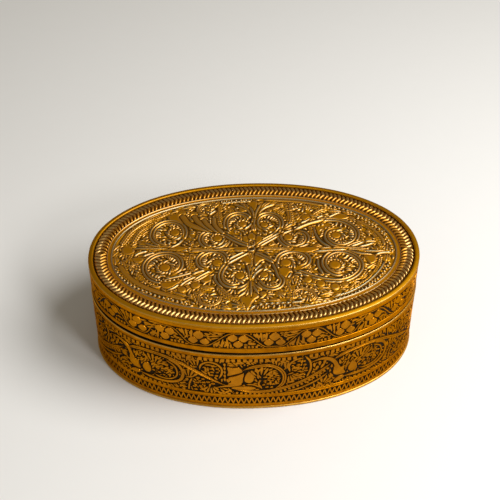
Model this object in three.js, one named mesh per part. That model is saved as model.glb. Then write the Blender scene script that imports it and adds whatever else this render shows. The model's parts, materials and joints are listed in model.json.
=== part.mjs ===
// Oval box of sheet brass with a lift-off lid. Millimetres, +Z up.
// The origin is the middle of the underside and +X runs along the box.
// Every wall, rim and plate is a profile carried round one oval. A profile point is
// an inset, measured inwards from the body's outside line, and a height.

import * as THREE from 'three';

// The oval: its size over the body wall, and how much squarer it is than an ellipse
const bodyLength = 150;
const bodyWidth = 96;
const ovalPower = 2.1;

// Facets: steps round the oval, and steps to each rounded corner of a profile
const ovalSteps = 88;
const cornerSteps = 3;

// Floor plate, with its rounded edge standing proud of the wall as a foot
const floorThickness = 1.2;
const footProud = 0.4;

// Body wall, from the foot up: bands that stand proud and bands chased down between them
const bodySheet = 1.3;
const bodyChaseDepth = 0.45;
const footBand = 1.8;
const toothBand = 4.3;
const fillet = 2.1;
const vineFrieze = 24.9;
const mouthBand = 2.7;
const mouthRound = 0.5;

// Inner collar, soldered inside the mouth with a film of solder
const solderGap = 0.3;
const collarSheet = 1.0;
const collarBelowMouth = 8;
const collarAboveMouth = 5;
const collarRound = 0.35;

// Lid wall, sliding over the collar and seating just clear of the body's mouth
const slideGap = 0.3;
const seatGap = 0.3;
const lidSheet = 1.0;
const lidChaseDepth = 0.4;
const lidLowerMargin = 3.1;
const flowerBand = 10.2;
const lidUpperMargin = 1.1;
const lidEdgeRound = 0.4;

// Rim: the half-round strip over the joint of lid wall and top plate
const rimWidth = 2.2;
const rimHeight = 1.5;
const rimFace = 0.5;

// Top plate, from its edge inwards
const plateSheet = 1.1;
const grooveWidth = 0.5;
const grooveDepth = 0.4;
const gadroonWidth = 5.6;
const gadroonHeight = 1.2;
const gadroonValley = 0.35;
const gadroonCount = 176;
const chevronLean = 0.35;
const channelWidth = 1.6;
const lineWidth = 0.9;
const lineHeight = 0.45;
const crownHeight = 0.4;

// Heights, stacked from the table up
const bodyTop = floorThickness + footBand + toothBand + fillet + vineFrieze + mouthBand;
const lidBottom = bodyTop + seatGap;
const lidWallTop = lidBottom + lidLowerMargin + flowerBand + lidUpperMargin;
const plateLevel = lidWallTop + grooveDepth;
const plateUnderside = plateLevel - plateSheet;

// Insets, stacked from the outside line inwards
const collarOutside = bodySheet + solderGap;
const lidInside = collarOutside - slideGap;
const lidOutside = lidInside - lidSheet;
const rimInside = lidOutside + rimWidth;
const plateEdge = lidInside + solderGap;
const gadroonStart = rimInside + grooveWidth;
const gadroonEnd = gadroonStart + gadroonWidth;
const lineStart = gadroonEnd + channelWidth;
const fieldEdge = lineStart + lineWidth;

// A point of the oval, a share of a turn from +X, at an inset and a height.
// A reach under 1 draws the oval in towards the middle.
function ovalPoint(turn, inset, height, reach = 1) {
  const cosine = Math.cos(turn * 2 * Math.PI);
  const sine = Math.sin(turn * 2 * Math.PI);
  const bulge = 2 / ovalPower;
  const x = (bodyLength / 2 - inset) * reach * Math.sign(cosine) * Math.abs(cosine) ** bulge;
  const y = (bodyWidth / 2 - inset) * reach * Math.sign(sine) * Math.abs(sine) ** bulge;
  return new THREE.Vector3(x, y, height);
}

function ovalRing(inset, height, reach = 1) {
  return Array.from({ length: ovalSteps }, (_, step) =>
    ovalPoint(step / ovalSteps, inset, height, reach));
}

// One vertex in the middle, which closes a plate
function middle(height) {
  return [new THREE.Vector3(0, 0, height)];
}

// Triangles between two rings of any two point counts, or between a ring and a middle
function zip(lower, upper, triangles) {
  const lowerSteps = lower.length > 1 ? lower.length : 0;
  const upperSteps = upper.length > 1 ? upper.length : 0;
  let i = 0;
  let j = 0;
  while (i < lowerSteps || j < upperSteps) {
    const lowerNext = lowerSteps > 0 ? (i + 0.5) / lowerSteps : Infinity;
    const upperNext = upperSteps > 0 ? (j + 0.5) / upperSteps : Infinity;
    const a = lower[i % lower.length];
    const b = upper[j % upper.length];
    if (j >= upperSteps || (i < lowerSteps && lowerNext <= upperNext)) {
      i += 1;
      triangles.push(a, lower[i % lower.length], b);
    } else {
      j += 1;
      triangles.push(a, upper[j % upper.length], b);
    }
  }
}

// A closed body from rings that run up the outside and down the inside of its profile
function ringBody(rings, closesOnItself) {
  const triangles = [];
  for (let k = 0; k + 1 < rings.length; k += 1) {
    zip(rings[k], rings[k + 1], triangles);
  }
  if (closesOnItself) {
    zip(rings[rings.length - 1], rings[0], triangles);
  }
  const geometry = new THREE.BufferGeometry().setFromPoints(triangles);
  geometry.computeVertexNormals();
  return geometry;
}

// A strip bent round the oval: the drawn profile is carried round as a closed ring
function bentStrip(profile) {
  const points = profile.getPoints(cornerSteps);
  return ringBody(points.map((point) => ovalRing(point.x, point.y)), true);
}

// A wall's outer face drawn upwards, as bands that are flush or chased down
function drawBands(profile, outside, chaseDepth, bottom, bands) {
  let height = bottom;
  for (const band of bands) {
    const inset = outside + (band.chased ? chaseDepth : 0);
    profile.lineTo(inset, height);
    height += band.height;
    profile.lineTo(inset, height);
  }
}

function floorPlate() {
  const edgeRadius = floorThickness / 2;
  const profile = new THREE.Path();
  profile.moveTo(edgeRadius - footProud, 0);
  profile.quadraticCurveTo(-footProud, 0, -footProud, edgeRadius);
  profile.quadraticCurveTo(-footProud, floorThickness, edgeRadius - footProud, floorThickness);
  const rings = profile.getPoints(cornerSteps).map((point) => ovalRing(point.x, point.y));
  return ringBody([middle(0), ...rings, middle(floorThickness)], false);
}

function bodyWall() {
  const profile = new THREE.Path();
  profile.moveTo(bodySheet, floorThickness);
  drawBands(profile, 0, bodyChaseDepth, floorThickness, [
    { height: footBand },
    { height: toothBand, chased: true },
    { height: fillet },
    { height: vineFrieze, chased: true },
    { height: mouthBand - mouthRound },
  ]);
  profile.quadraticCurveTo(0, bodyTop, mouthRound, bodyTop);
  profile.lineTo(bodySheet, bodyTop);
  return bentStrip(profile);
}

function innerCollar() {
  const inside = collarOutside + collarSheet;
  const top = bodyTop + collarAboveMouth;
  const profile = new THREE.Path();
  profile.moveTo(inside, bodyTop - collarBelowMouth);
  profile.lineTo(collarOutside, bodyTop - collarBelowMouth);
  profile.lineTo(collarOutside, top - collarRound);
  profile.quadraticCurveTo(collarOutside, top, collarOutside + collarRound, top);
  profile.lineTo(inside - collarRound, top);
  profile.quadraticCurveTo(inside, top, inside, top - collarRound);
  return bentStrip(profile);
}

function lidWall() {
  const profile = new THREE.Path();
  profile.moveTo(lidInside, lidBottom);
  profile.lineTo(lidOutside + lidEdgeRound, lidBottom);
  profile.quadraticCurveTo(lidOutside, lidBottom, lidOutside, lidBottom + lidEdgeRound);
  drawBands(profile, lidOutside, lidChaseDepth, lidBottom + lidEdgeRound, [
    { height: lidLowerMargin - lidEdgeRound },
    { height: flowerBand, chased: true },
    { height: lidUpperMargin },
  ]);
  profile.lineTo(lidInside, lidWallTop);
  return bentStrip(profile);
}

// Half-round in section: an upright outer face, then one arc over to the inner side
function lidRim() {
  const top = lidWallTop + rimHeight;
  const crest = lidOutside + rimWidth * 0.75;
  const profile = new THREE.Path();
  profile.moveTo(rimInside, lidWallTop);
  profile.lineTo(lidOutside, lidWallTop);
  profile.lineTo(lidOutside, lidWallTop + rimFace);
  profile.quadraticCurveTo(lidOutside + rimWidth * 0.15, top, crest, top);
  profile.quadraticCurveTo(rimInside, top, rimInside, lidWallTop + rimHeight / 2);
  return bentStrip(profile);
}

// One ring of the gadroons: crests and valleys in turn round the oval. The share runs
// from the outer end of a gadroon, 0, to its inner end, 1. Each gadroon is bent at its
// middle, so that the ring reads as chevrons, which point to +X along both long sides.
function gadroonRing(share) {
  const arch = Math.sin(Math.PI * Math.min(Math.max(share, 0.03), 0.97)) ** 0.5;
  const lean = chevronLean * Math.abs(2 * share - 1) / gadroonCount;
  const inset = gadroonStart + gadroonWidth * share;
  const steps = 2 * gadroonCount;
  const ring = [];
  for (let step = 0; step < steps; step += 1) {
    const side = Math.sign(steps / 2 - step) * Math.sign(step);
    const rise = step % 2 === 0 ? 1 : gadroonValley;
    const height = plateLevel + gadroonHeight * arch * rise;
    ring.push(ovalPoint(step / steps + side * lean, inset, height));
  }
  return ring;
}

function lidTopPlate() {
  const underCrest = (gadroonStart + gadroonEnd) / 2;
  const crown = (reach) => plateLevel + crownHeight * (1 - reach ** 2);
  return ringBody([
    middle(plateUnderside),
    ovalRing(gadroonEnd, plateUnderside),
    ovalRing(underCrest, plateUnderside + gadroonHeight * gadroonValley),
    ovalRing(gadroonStart, plateUnderside),
    ovalRing(plateEdge, plateUnderside),
    ovalRing(plateEdge, lidWallTop),
    ovalRing(gadroonStart, lidWallTop),
    ...[0, 0.2, 0.5, 0.8, 1].map(gadroonRing),
    ovalRing(gadroonEnd + channelWidth * 0.25, plateLevel),
    ovalRing(lineStart, plateLevel),
    ovalRing(lineStart + lineWidth / 2, plateLevel + lineHeight),
    ovalRing(fieldEdge, plateLevel),
    ovalRing(fieldEdge, crown(0.7), 0.7),
    ovalRing(fieldEdge, crown(0.35), 0.35),
    middle(crown(0)),
  ], false);
}

function brass(color, roughness) {
  return new THREE.MeshStandardMaterial({ color, roughness, metalness: 1 });
}

const sideBrass = 0xb8860f;
const topBrass = 0xc29a3a;
const innerBrass = 0xa9822c;

const pieces = [
  { name: 'floor_plate', make: floorPlate, color: innerBrass, roughness: 0.45 },
  { name: 'body_wall', make: bodyWall, color: sideBrass, roughness: 0.38 },
  { name: 'inner_collar', make: innerCollar, color: innerBrass, roughness: 0.42 },
  { name: 'lid_wall', make: lidWall, color: sideBrass, roughness: 0.38 },
  { name: 'lid_top_plate', make: lidTopPlate, color: topBrass, roughness: 0.3 },
  { name: 'lid_rim', make: lidRim, color: topBrass, roughness: 0.32 },
];

const box = new THREE.Group();
for (const piece of pieces) {
  const mesh = new THREE.Mesh(piece.make(), brass(piece.color, piece.roughness));
  mesh.name = piece.name;
  box.add(mesh);
}

export default box;
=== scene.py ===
import json
import math

import bpy
import numpy as np
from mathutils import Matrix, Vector

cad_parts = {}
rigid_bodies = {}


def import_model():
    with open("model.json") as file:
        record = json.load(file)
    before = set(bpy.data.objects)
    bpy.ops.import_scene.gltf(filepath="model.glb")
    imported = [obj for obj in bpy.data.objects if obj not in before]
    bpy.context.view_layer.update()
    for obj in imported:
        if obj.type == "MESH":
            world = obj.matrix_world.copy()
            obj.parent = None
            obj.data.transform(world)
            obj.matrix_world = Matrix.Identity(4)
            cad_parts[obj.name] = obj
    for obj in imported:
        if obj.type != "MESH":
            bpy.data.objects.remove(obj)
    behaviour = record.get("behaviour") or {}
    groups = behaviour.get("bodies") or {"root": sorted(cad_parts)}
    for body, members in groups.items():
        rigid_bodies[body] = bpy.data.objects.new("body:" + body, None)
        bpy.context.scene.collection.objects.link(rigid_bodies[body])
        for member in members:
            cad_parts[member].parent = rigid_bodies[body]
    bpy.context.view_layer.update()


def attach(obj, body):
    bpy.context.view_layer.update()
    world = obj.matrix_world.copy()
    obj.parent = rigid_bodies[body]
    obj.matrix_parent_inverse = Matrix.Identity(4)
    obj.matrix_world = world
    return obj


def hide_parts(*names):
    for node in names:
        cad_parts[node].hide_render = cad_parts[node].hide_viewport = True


# Oval brass box with a lift-off lid. All sizes below are in millimetres, as in the CAD,
# and become metres when a mesh is made. Insets run inwards from the body's outside line.

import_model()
mm = 0.001
tau = 2 * math.pi

oval = {
    "halfLength": 75.0,
    "halfWidth": 48.0,
    "power": 2.1,
    "steps": 720,
    "fineSteps": 7200,            # for measuring along the line
    "dent": 0.06,                 # how far the hand-bent walls stray from the true oval
    "dentWaves": ((2, 0.4), (3, 1.9), (5, 4.1), (11, 2.2)),    # waves round the oval, phase
}


def ovalXY(turns, inset=0.0):
    # Points of the oval; a turn runs from 0 at +X round to 1, counter-clockwise
    angles = tau * np.asarray(turns, dtype=float)
    cosine, sine = np.cos(angles), np.sin(angles)
    bulge = 2 / oval["power"]
    stray = sum(np.sin(waves * angles + phase) for waves, phase in oval["dentWaves"]) * oval["dent"] / 2
    x = (oval["halfLength"] - inset + stray) * np.sign(cosine) * np.abs(cosine) ** bulge
    y = (oval["halfWidth"] - inset + stray) * np.sign(sine) * np.abs(sine) ** bulge
    return np.column_stack([x, y])


def arcLengths(line):
    # How far along a line each of its points lies
    return np.concatenate([[0], np.cumsum(np.hypot(*np.diff(line, axis=0).T))])


fineTurns = np.linspace(0, 1, oval["fineSteps"] + 1)
fineArc = arcLengths(ovalXY(fineTurns))
perimeter = fineArc[-1]


def turnAt(arc):
    # The turn at a distance along the outside line
    return np.interp(np.asarray(arc) % perimeter, fineArc, fineTurns)


evenArc = perimeter * np.arange(oval["steps"]) / oval["steps"]
evenTurns = turnAt(evenArc)


def addObject(name, data):
    obj = bpy.data.objects.new(name, data)
    bpy.context.scene.collection.objects.link(obj)
    return obj


def meshPiece(name, points, faces, attributes=None, sharpDegrees=None):
    mesh = bpy.data.meshes.new(name)
    mesh.from_pydata((np.asarray(points, dtype=float) * mm).tolist(), [], faces)
    for key, values in (attributes or {}).items():
        layer = mesh.attributes.new(key, "FLOAT", "POINT")
        layer.data.foreach_set("value", np.asarray(values, dtype=np.float32))
    mesh.shade_smooth()
    if sharpDegrees:
        mesh.set_sharp_from_angle(angle=math.radians(sharpDegrees))
    mesh.update()
    return addObject(name, mesh)


bendDegrees = 38    # sheet that is bent more sharply than this shows a hard edge


def ringPiece(name, profile, shift=None):
    # Carries a closed profile round the oval. A profile point is inset, height and cavity, which is dirt
    # with painted shade; a cavity below zero is a polished crest with a painted highlight
    steps, count = oval["steps"], len(profile)
    points = np.zeros((steps, count, 3))
    for k, (inset, height, cavity) in enumerate(profile):
        points[:, k, :2] = ovalXY(evenTurns, inset)
        points[:, k, 2] = height
    if shift is not None:
        points[:, :, 2] += shift
    index = np.arange(steps * count).reshape(steps, count)
    onward = np.roll(index, -1, axis=0)
    quads = np.stack([index, onward, np.roll(onward, -1, axis=1), np.roll(index, -1, axis=1)], axis=-1)
    cavities = np.tile([point[2] for point in profile], steps)
    marks = {"cavity": np.maximum(cavities, 0), "crest": np.maximum(-cavities, 0)}
    return meshPiece(name, points.reshape(-1, 3), quads.reshape(-1, 4).tolist(), marks, bendDegrees)


def tubeFaces(stations, size, turned=False):
    # Faces of a closed body made of equal rings of points, with a cap at either end
    faces = []
    for a in range(0, size * (stations - 1), size):
        for k in range(size):
            here, onward = a + k, a + (k + 1) % size
            face = (here, onward, onward + size, here + size)
            faces.append(face[:1] + face[:0:-1] if turned else face)
    last = size * (stations - 1)
    caps = (range(size), range(last + size - 1, last - 1, -1))
    return faces + [tuple(cap if turned else cap[::-1]) for cap in caps]


# Node helpers

def put(tree, kind, inputs=None, **settings):
    # Adds a node; an input takes a plain value or another node's output
    node = tree.nodes.new(kind)
    for key, value in settings.items():
        setattr(node, key, value)
    for key, value in (inputs or {}).items():
        if isinstance(key, int):
            socket = node.inputs[key]
        else:
            socket = next(s for s in node.inputs if s.name == key and s.enabled)
        if isinstance(value, bpy.types.NodeSocket):
            tree.links.new(value, socket)
        else:
            socket.default_value = value
    return node


def out(node, name=None):
    return next(s for s in node.outputs if s.enabled and (name is None or s.name == name))


def newGroup(name, kind, inputs, outputs):
    # A node group with named sockets, given as name, type and, where it has one, a default
    tree = bpy.data.node_groups.new(name, kind)
    for title, socketType, *default in inputs:
        socket = tree.interface.new_socket(title, in_out="INPUT", socket_type="NodeSocket" + socketType)
        if default:
            socket.default_value = default[0]
    for title, socketType in outputs:
        tree.interface.new_socket(title, in_out="OUTPUT", socket_type="NodeSocket" + socketType)
    return tree, put(tree, "NodeGroupInput"), put(tree, "NodeGroupOutput")


def addTree(obj, tree, values):
    # Puts a Geometry Nodes tree on an object and sets its inputs by identifier
    modifier = obj.modifiers.new(tree.name, "NODES")
    modifier.node_group = tree
    for name, value in values.items():
        modifier[tree.interface.items_tree[name].identifier] = value


def settle(obj):
    # Turns the result of an object's modifiers into its own plain mesh
    bpy.context.view_layer.update()
    depsgraph = bpy.context.evaluated_depsgraph_get()
    mesh = bpy.data.meshes.new_from_object(obj.evaluated_get(depsgraph))
    obj.modifiers.clear()
    obj.data = mesh
    mesh.name = obj.name
    return obj


def math2(tree, operation, a, b, clamp=False):
    return out(put(tree, "ShaderNodeMath", {0: a, 1: b}, operation=operation, use_clamp=clamp))


def times(tree, a, b):
    return math2(tree, "MULTIPLY", a, b)


def inverse(tree, value):
    return math2(tree, "SUBTRACT", 1.0, value)


def mapped(tree, value, low, high, start=0.0, end=1.0, **settings):
    # A value's place between low and high, carried over to the range from start to end
    inputs = {"Value": value, "From Min": low, "From Max": high, "To Min": start, "To Max": end}
    return out(put(tree, "ShaderNodeMapRange", inputs, **settings), "Result")


def noise(tree, place, scale, detail, rough=0.5):
    inputs = {"Vector": place, "Scale": scale, "Detail": detail, "Roughness": rough}
    return out(put(tree, "ShaderNodeTexNoise", inputs), "Fac")


def mixValue(tree, share, a, b, kind="FLOAT"):
    return out(put(tree, "ShaderNodeMix", {"Factor": share, "A": a, "B": b}, data_type=kind), "Result")


def mixColour(tree, share, *ends):
    # A plain colour is given as three numbers
    ends = [(*end, 1.0) if isinstance(end, tuple) else end for end in ends]
    return mixValue(tree, share, *ends, "RGBA")


# Shared shader groups

patina = {
    "dirtShadeScale": 260.0, "dirtShadeDetail": 4.0, "dirtAndShade": (0.35, 0.8),
    "filmScale": 24.0, "filmDetail": 5.0, "filmRough": 0.6, "filmShare": 0.6, "film": (0.40, 0.64),
    "rubbedAndHighlit": (0.12, 0.9),
}


def buildPatinaShadeHighlightGroup():
    # Grime and painted shade fill the hollows with a ragged edge, a film comes and goes, and crests are
    # rubbed bright with a painted highlight
    tree, entry, leave = newGroup(
        "patina", "ShaderNodeTree",
        [("Cavity", "Float", 0.0), ("Crest", "Float", 0.0),
         ("Grime Scale", "Float", patina["dirtShadeScale"]), ("Spread", "Float", 0.25)],
        [("Grime", "Float"), ("Film", "Float"), ("Polish", "Float")])
    place = out(put(tree, "ShaderNodeTexCoord"), "Object")
    fine = noise(tree, place, out(entry, "Grime Scale"), patina["dirtShadeDetail"])
    slow = noise(tree, place, patina["filmScale"], patina["filmDetail"], patina["filmRough"])
    ragged = times(tree, math2(tree, "SUBTRACT", fine, 0.5), out(entry, "Spread"))
    level = math2(tree, "ADD", out(entry, "Cavity"), ragged)
    dirtAndShade = mapped(tree, level, *patina["dirtAndShade"], interpolation_type="SMOOTHSTEP")
    mottle = math2(tree, "ADD", times(tree, slow, patina["filmShare"]),
                   times(tree, fine, 1 - patina["filmShare"]))
    rubbedAndHighlit = mapped(tree, out(entry, "Crest"), *patina["rubbedAndHighlit"])
    tree.links.new(dirtAndShade, leave.inputs["Grime"])
    tree.links.new(mapped(tree, mottle, *patina["film"]), leave.inputs["Film"])
    tree.links.new(times(tree, rubbedAndHighlit, inverse(tree, dirtAndShade)), leave.inputs["Polish"])
    return tree


toolMarks = {
    "hammerScale": 330.0, "pitScale": 1500.0, "detail": 2.0,
    "scratchScale": (500.0, 2600.0, 2600.0), "scratchTurn": (0.3, 0.5, 0.4), "scratch": (0.60, 0.72),
}


def buildToolMarksGroup():
    # Heights, in metres, of soft hammer facets, file scratches and fine pits
    tree, entry, leave = newGroup(
        "toolMarks", "ShaderNodeTree",
        [("Hammer", "Float", 0.00002), ("Scratch", "Float", 0.000006), ("Pit", "Float", 0.00001)],
        [("Height", "Float")])
    place = out(put(tree, "ShaderNodeTexCoord"), "Object")
    facets = put(tree, "ShaderNodeTexVoronoi", {
        "Vector": place, "Scale": toolMarks["hammerScale"], "Smoothness": 1.0}, feature="SMOOTH_F1")
    stretched = put(tree, "ShaderNodeMapping", {
        "Vector": place, "Scale": toolMarks["scratchScale"], "Rotation": toolMarks["scratchTurn"]})
    scratches = mapped(tree, noise(tree, out(stretched), 1.0, toolMarks["detail"]), *toolMarks["scratch"])
    pits = noise(tree, place, toolMarks["pitScale"], toolMarks["detail"])
    height = times(tree, out(facets, "Distance"), out(entry, "Hammer"))
    height = math2(tree, "SUBTRACT", height, times(tree, scratches, out(entry, "Scratch")))
    height = math2(tree, "ADD", height, times(tree, pits, out(entry, "Pit")))
    tree.links.new(height, leave.inputs["Height"])
    return tree


patinaShadeHighlightGroup = buildPatinaShadeHighlightGroup()
toolMarksGroup = buildToolMarksGroup()

# Each finish: the metal's colours where it is bright, under film, rubbed bare with a painted highlight, and
# in the grime with painted shade; its roughness clear and under film, and on polished crests; the clear coat;
# how ragged the edge of the grime and painted shade is; and the depths of the tool marks in metres
finishes = {
    # The chased sides' bright and warm colours are a deeper amber than the top's: the brass's own colour with
    # a painted reflection of a warm wooden table
    "chased_brass": {
        "bright": (0.50, 0.178, 0.002), "warm": (0.20, 0.060, 0.001), "bareAndHighlight": (0.68, 0.42, 0.110),
        "dirtAndShade": (0.013, 0.006, 0.001), "rough": (0.34, 0.48), "polishHighlightRough": 0.28, "coat": 0.0,
        "spread": 0.30,
        "hammer": 0.00003, "scratch": 0.000012, "pit": 0.000012,
    },
    "embossed_brass": {
        "bright": (0.61, 0.262, 0.001), "warm": (0.51, 0.200, 0.001), "bareAndHighlight": (0.36, 0.305, 0.17),
        "dirtAndShade": (0.040, 0.016, 0.001), "rough": (0.48, 0.60), "polishHighlightRough": 0.42, "coat": 0.2,
        "spread": 0.30,
        "hammer": 0.00004, "scratch": 0.00001, "pit": 0.000015,
    },
    "gadroon_brass": {
        "bright": (0.62, 0.262, 0.003), "warm": (0.52, 0.205, 0.002), "bareAndHighlight": (0.53, 0.315, 0.095),
        "dirtAndShade": (0.046, 0.018, 0.001), "rough": (0.46, 0.58), "polishHighlightRough": 0.38, "coat": 0.2,
        "spread": 0.30,
        "hammer": 0.00004, "scratch": 0.00001, "pit": 0.000015,
    },
    "rim_brass": {
        "bright": (0.50, 0.225, 0.003), "warm": (0.39, 0.165, 0.002), "bareAndHighlight": (0.70, 0.46, 0.150),
        "dirtAndShade": (0.05, 0.020, 0.002), "rough": (0.50, 0.60), "polishHighlightRough": 0.30, "coat": 0.1, "spread": 0.4,
        "hammer": 0.00005, "scratch": 0.000014, "pit": 0.00001,
    },
    "inner_brass": {
        "bright": (0.60, 0.32, 0.05), "warm": (0.46, 0.22, 0.03), "bareAndHighlight": (0.70, 0.46, 0.14),
        "dirtAndShade": (0.06, 0.032, 0.010), "rough": (0.36, 0.52), "polishHighlightRough": 0.34, "coat": 0.0, "spread": 0.5,
        "hammer": 0.00006, "scratch": 0.00002, "pit": 0.00002,
    },
}

# Shared settings, among them the roughness and dulling where the grime and painted shade lie
shading = {
    "filmShare": 0.75, "dirtShadeRough": 0.72, "dirtShadeDulls": 0.75, "tint": (0.90, 0.62, 0.25, 1.0),
    "specular": 0.2, "coatRough": 0.2, "coatIor": 1.55,
}


def makeBrass(name):
    look = finishes[name]
    material = bpy.data.materials.new(name)
    material.use_nodes = True
    tree = material.node_tree
    tree.nodes.clear()
    wearShadeHighlight = put(tree, "ShaderNodeGroup", {
        "Cavity": out(put(tree, "ShaderNodeAttribute", attribute_name="cavity"), "Fac"),
        "Crest": out(put(tree, "ShaderNodeAttribute", attribute_name="crest"), "Fac"),
        "Spread": look["spread"]}, node_tree=patinaShadeHighlightGroup)
    marks = put(tree, "ShaderNodeGroup", {
        "Hammer": look["hammer"], "Scratch": look["scratch"], "Pit": look["pit"]}, node_tree=toolMarksGroup)
    dirtAndShade, film, polishAndHighlight = (out(wearShadeHighlight, key) for key in ("Grime", "Film", "Polish"))
    colour = mixColour(tree, times(tree, film, shading["filmShare"]), look["bright"],
                       look["warm"])
    # Crests get the bare colour, rubbed metal with a painted highlight; hollows get the grime colour, dirt
    # with painted shade
    colour = mixColour(tree, polishAndHighlight, colour, look["bareAndHighlight"])
    colour = mixColour(tree, dirtAndShade, colour, look["dirtAndShade"])
    rough = mixValue(tree, film, *look["rough"])
    rough = mixValue(tree, polishAndHighlight, rough, look["polishHighlightRough"])
    rough = mixValue(tree, dirtAndShade, rough, shading["dirtShadeRough"])
    metal = inverse(tree, times(tree, dirtAndShade, shading["dirtShadeDulls"]))
    bump = put(tree, "ShaderNodeBump", {"Height": out(marks, "Height"), "Strength": 1.0, "Distance": 1.0})
    shader = put(tree, "ShaderNodeBsdfPrincipled", {
        "Base Color": colour, "Roughness": rough, "Metallic": metal, "Normal": out(bump),
        "Specular Tint": shading["tint"], "Specular IOR Level": shading["specular"],
        "Coat Roughness": shading["coatRough"], "Coat IOR": shading["coatIor"]})
    if look["coat"]:
        coat = times(tree, inverse(tree, dirtAndShade), look["coat"])
        tree.links.new(coat, shader.inputs["Coat Weight"])
    put(tree, "ShaderNodeOutputMaterial", {"Surface": out(shader)})
    return material


brass = {name: makeBrass(name) for name in finishes}
print("materials made")


def finishPiece(obj, body, slotName, *nodes):
    if not obj.data.materials:
        obj.data.materials.append(brass[slotName])
    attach(obj, body)
    if nodes:
        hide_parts(*nodes)


# Floor plate, body wall, collar

# The floor plate's edge and its upper face under the wall are darkened with dirt and painted shade
footing = {
    "proud": 0.4, "thickness": 1.2, "dish": 0.125, "edgeSteps": 7, "edgeDirtShade": 0.35,
    "rings": (0.985, 0.93, 0.8, 0.6, 0.4, 0.2),       # of either face, as shares of the oval
    "ringDirtShade": (0.75, 0.3, 0.0, 0.0, 0.0, 0.0),     # on the upper face, deepest under the wall
}


def makeFloorPlate():
    # A sheet disc with a rounded edge, a little dished from the hammer
    thickness, radius, steps = footing["thickness"], footing["thickness"] / 2, oval["steps"]
    rings = [(ovalXY(evenTurns) * share, 0.0, 0.0) for share in footing["rings"][::-1]]
    for angle in np.radians(np.linspace(270, 90, footing["edgeSteps"])):
        inset = radius - footing["proud"] + radius * math.cos(angle)
        height = radius + radius * math.sin(angle)
        rings.append((ovalXY(evenTurns, inset), height,
                      footing["edgeDirtShade"] if height > 1.5 * radius else 0.0))
    for share, dirtAndShade in zip(footing["rings"], footing["ringDirtShade"]):
        rings.append((ovalXY(evenTurns) * share, thickness - footing["dish"] * (1 - share), dirtAndShade))
    rows = [np.column_stack([line, np.full(steps, height)]) for line, height, _ in rings]
    points = np.vstack(rows + [[(0, 0, 0)], [(0, 0, thickness - footing["dish"])]])
    index = np.arange(steps * len(rows)).reshape(len(rows), steps)
    onward = np.roll(index, -1, axis=1)
    faces = np.stack([index[:-1], onward[:-1], onward[1:], index[1:]], axis=-1).reshape(-1, 4).tolist()
    low, high = len(points) - 2, len(points) - 1
    faces += [(int(b), int(a), low) for a, b in zip(index[0], onward[0])]
    faces += [(int(a), int(b), high) for a, b in zip(index[-1], onward[-1])]
    cavities = np.concatenate([np.repeat([dirtAndShade for _, _, dirtAndShade in rings], steps), [0, 0]])
    marks = {"cavity": cavities, "crest": np.zeros(len(cavities))}
    return meshPiece("floorPlate", points, faces, marks, bendDegrees)


# The gap between lid and body is uneven, as on the real box: widest at the left front
seam = {
    "widestArc": 232.0, "reach": 62.0, "lidDrop": 0.75, "mouthDrop": 1.1, "waver": 0.06,
    "mouthFrom": 34.5, "lidFrom": 39.2, "fade": 1.4,    # where the walls begin to follow it
}


def seamShift(profile, drop, start, side):
    # Moves the edge of a wall down by a drop that changes round the oval; the side is 1 for an
    # upper edge, above the start, and -1 for a lower one
    heights = np.array([point[1] for point in profile])
    follow = np.clip(side * (heights - start) / seam["fade"], 0, 1)
    waver = seam["waver"] * np.sin(tau * evenArc / perimeter * 3 + 1)
    return -(drop + waver)[:, None] * follow[None, :]


wall = {"sheet": 1.3, "foot": 1.2, "chase": 0.48}


def makeBodyWall():
    # From the inner foot corner round the outside and over the mouth: two scored lines, the zigzag's
    # bed, a fillet, the vine's bed and the plain band at the mouth
    deep, inner, foot = wall["chase"], wall["sheet"], wall["foot"]
    # Beds, the mouth's top and the inner face get dirt with painted shade; the mouth's rounded edge gets a
    # painted highlight
    profile = [
        (inner, foot, 0.3), (0.35, foot, 0.9), (0.06, foot + 0.12, 0.5), (0, 1.6, 0.0),
        (0, 2.05, 0.0), (0.1, 2.15, 0.75), (0, 2.25, 0.0), (0, 2.85, 0.0),
        (0.1, 2.98, 0.3), (deep, 3.08, 1.0), (deep + 0.04, 5.2, 1.0), (deep, 7.2, 1.0), (0.1, 7.32, 0.3),
        (0, 7.45, 0.0), (0, 8.1, 0.0), (0.12, 8.22, 0.8), (0, 8.34, 0.0), (0, 9.25, 0.0), (0.1, 9.38, 0.3),
        (deep, 9.5, 1.0), (deep + 0.05, 15, 1.0), (deep + 0.05, 21, 1.0), (deep + 0.05, 28, 1.0),
        (deep, 33.35, 1.0), (0.1, 33.45, 0.3), (0, 33.6, 0.0), (0, 36.3, 0.0),
        (0.02, 36.55, -0.4), (0.1, 36.78, -0.8), (0.26, 36.94, -0.6), (0.38, 36.98, 1.0),
        (inner - 0.1, 37.0, 1.0), (inner, 36.9, 0.9),
        (inner, 30, 0.2), (inner, 20, 0.1), (inner, 10, 0.1), (inner, 3, 0.4),
    ]
    return ringPiece("bodyWall", profile, seamShift(profile, seam["mouthDrop"], seam["mouthFrom"], 1))


collar = {"outside": 1.6, "inside": 2.6, "bottom": 29.0, "top": 42.0, "mouth": 37.0}


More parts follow.
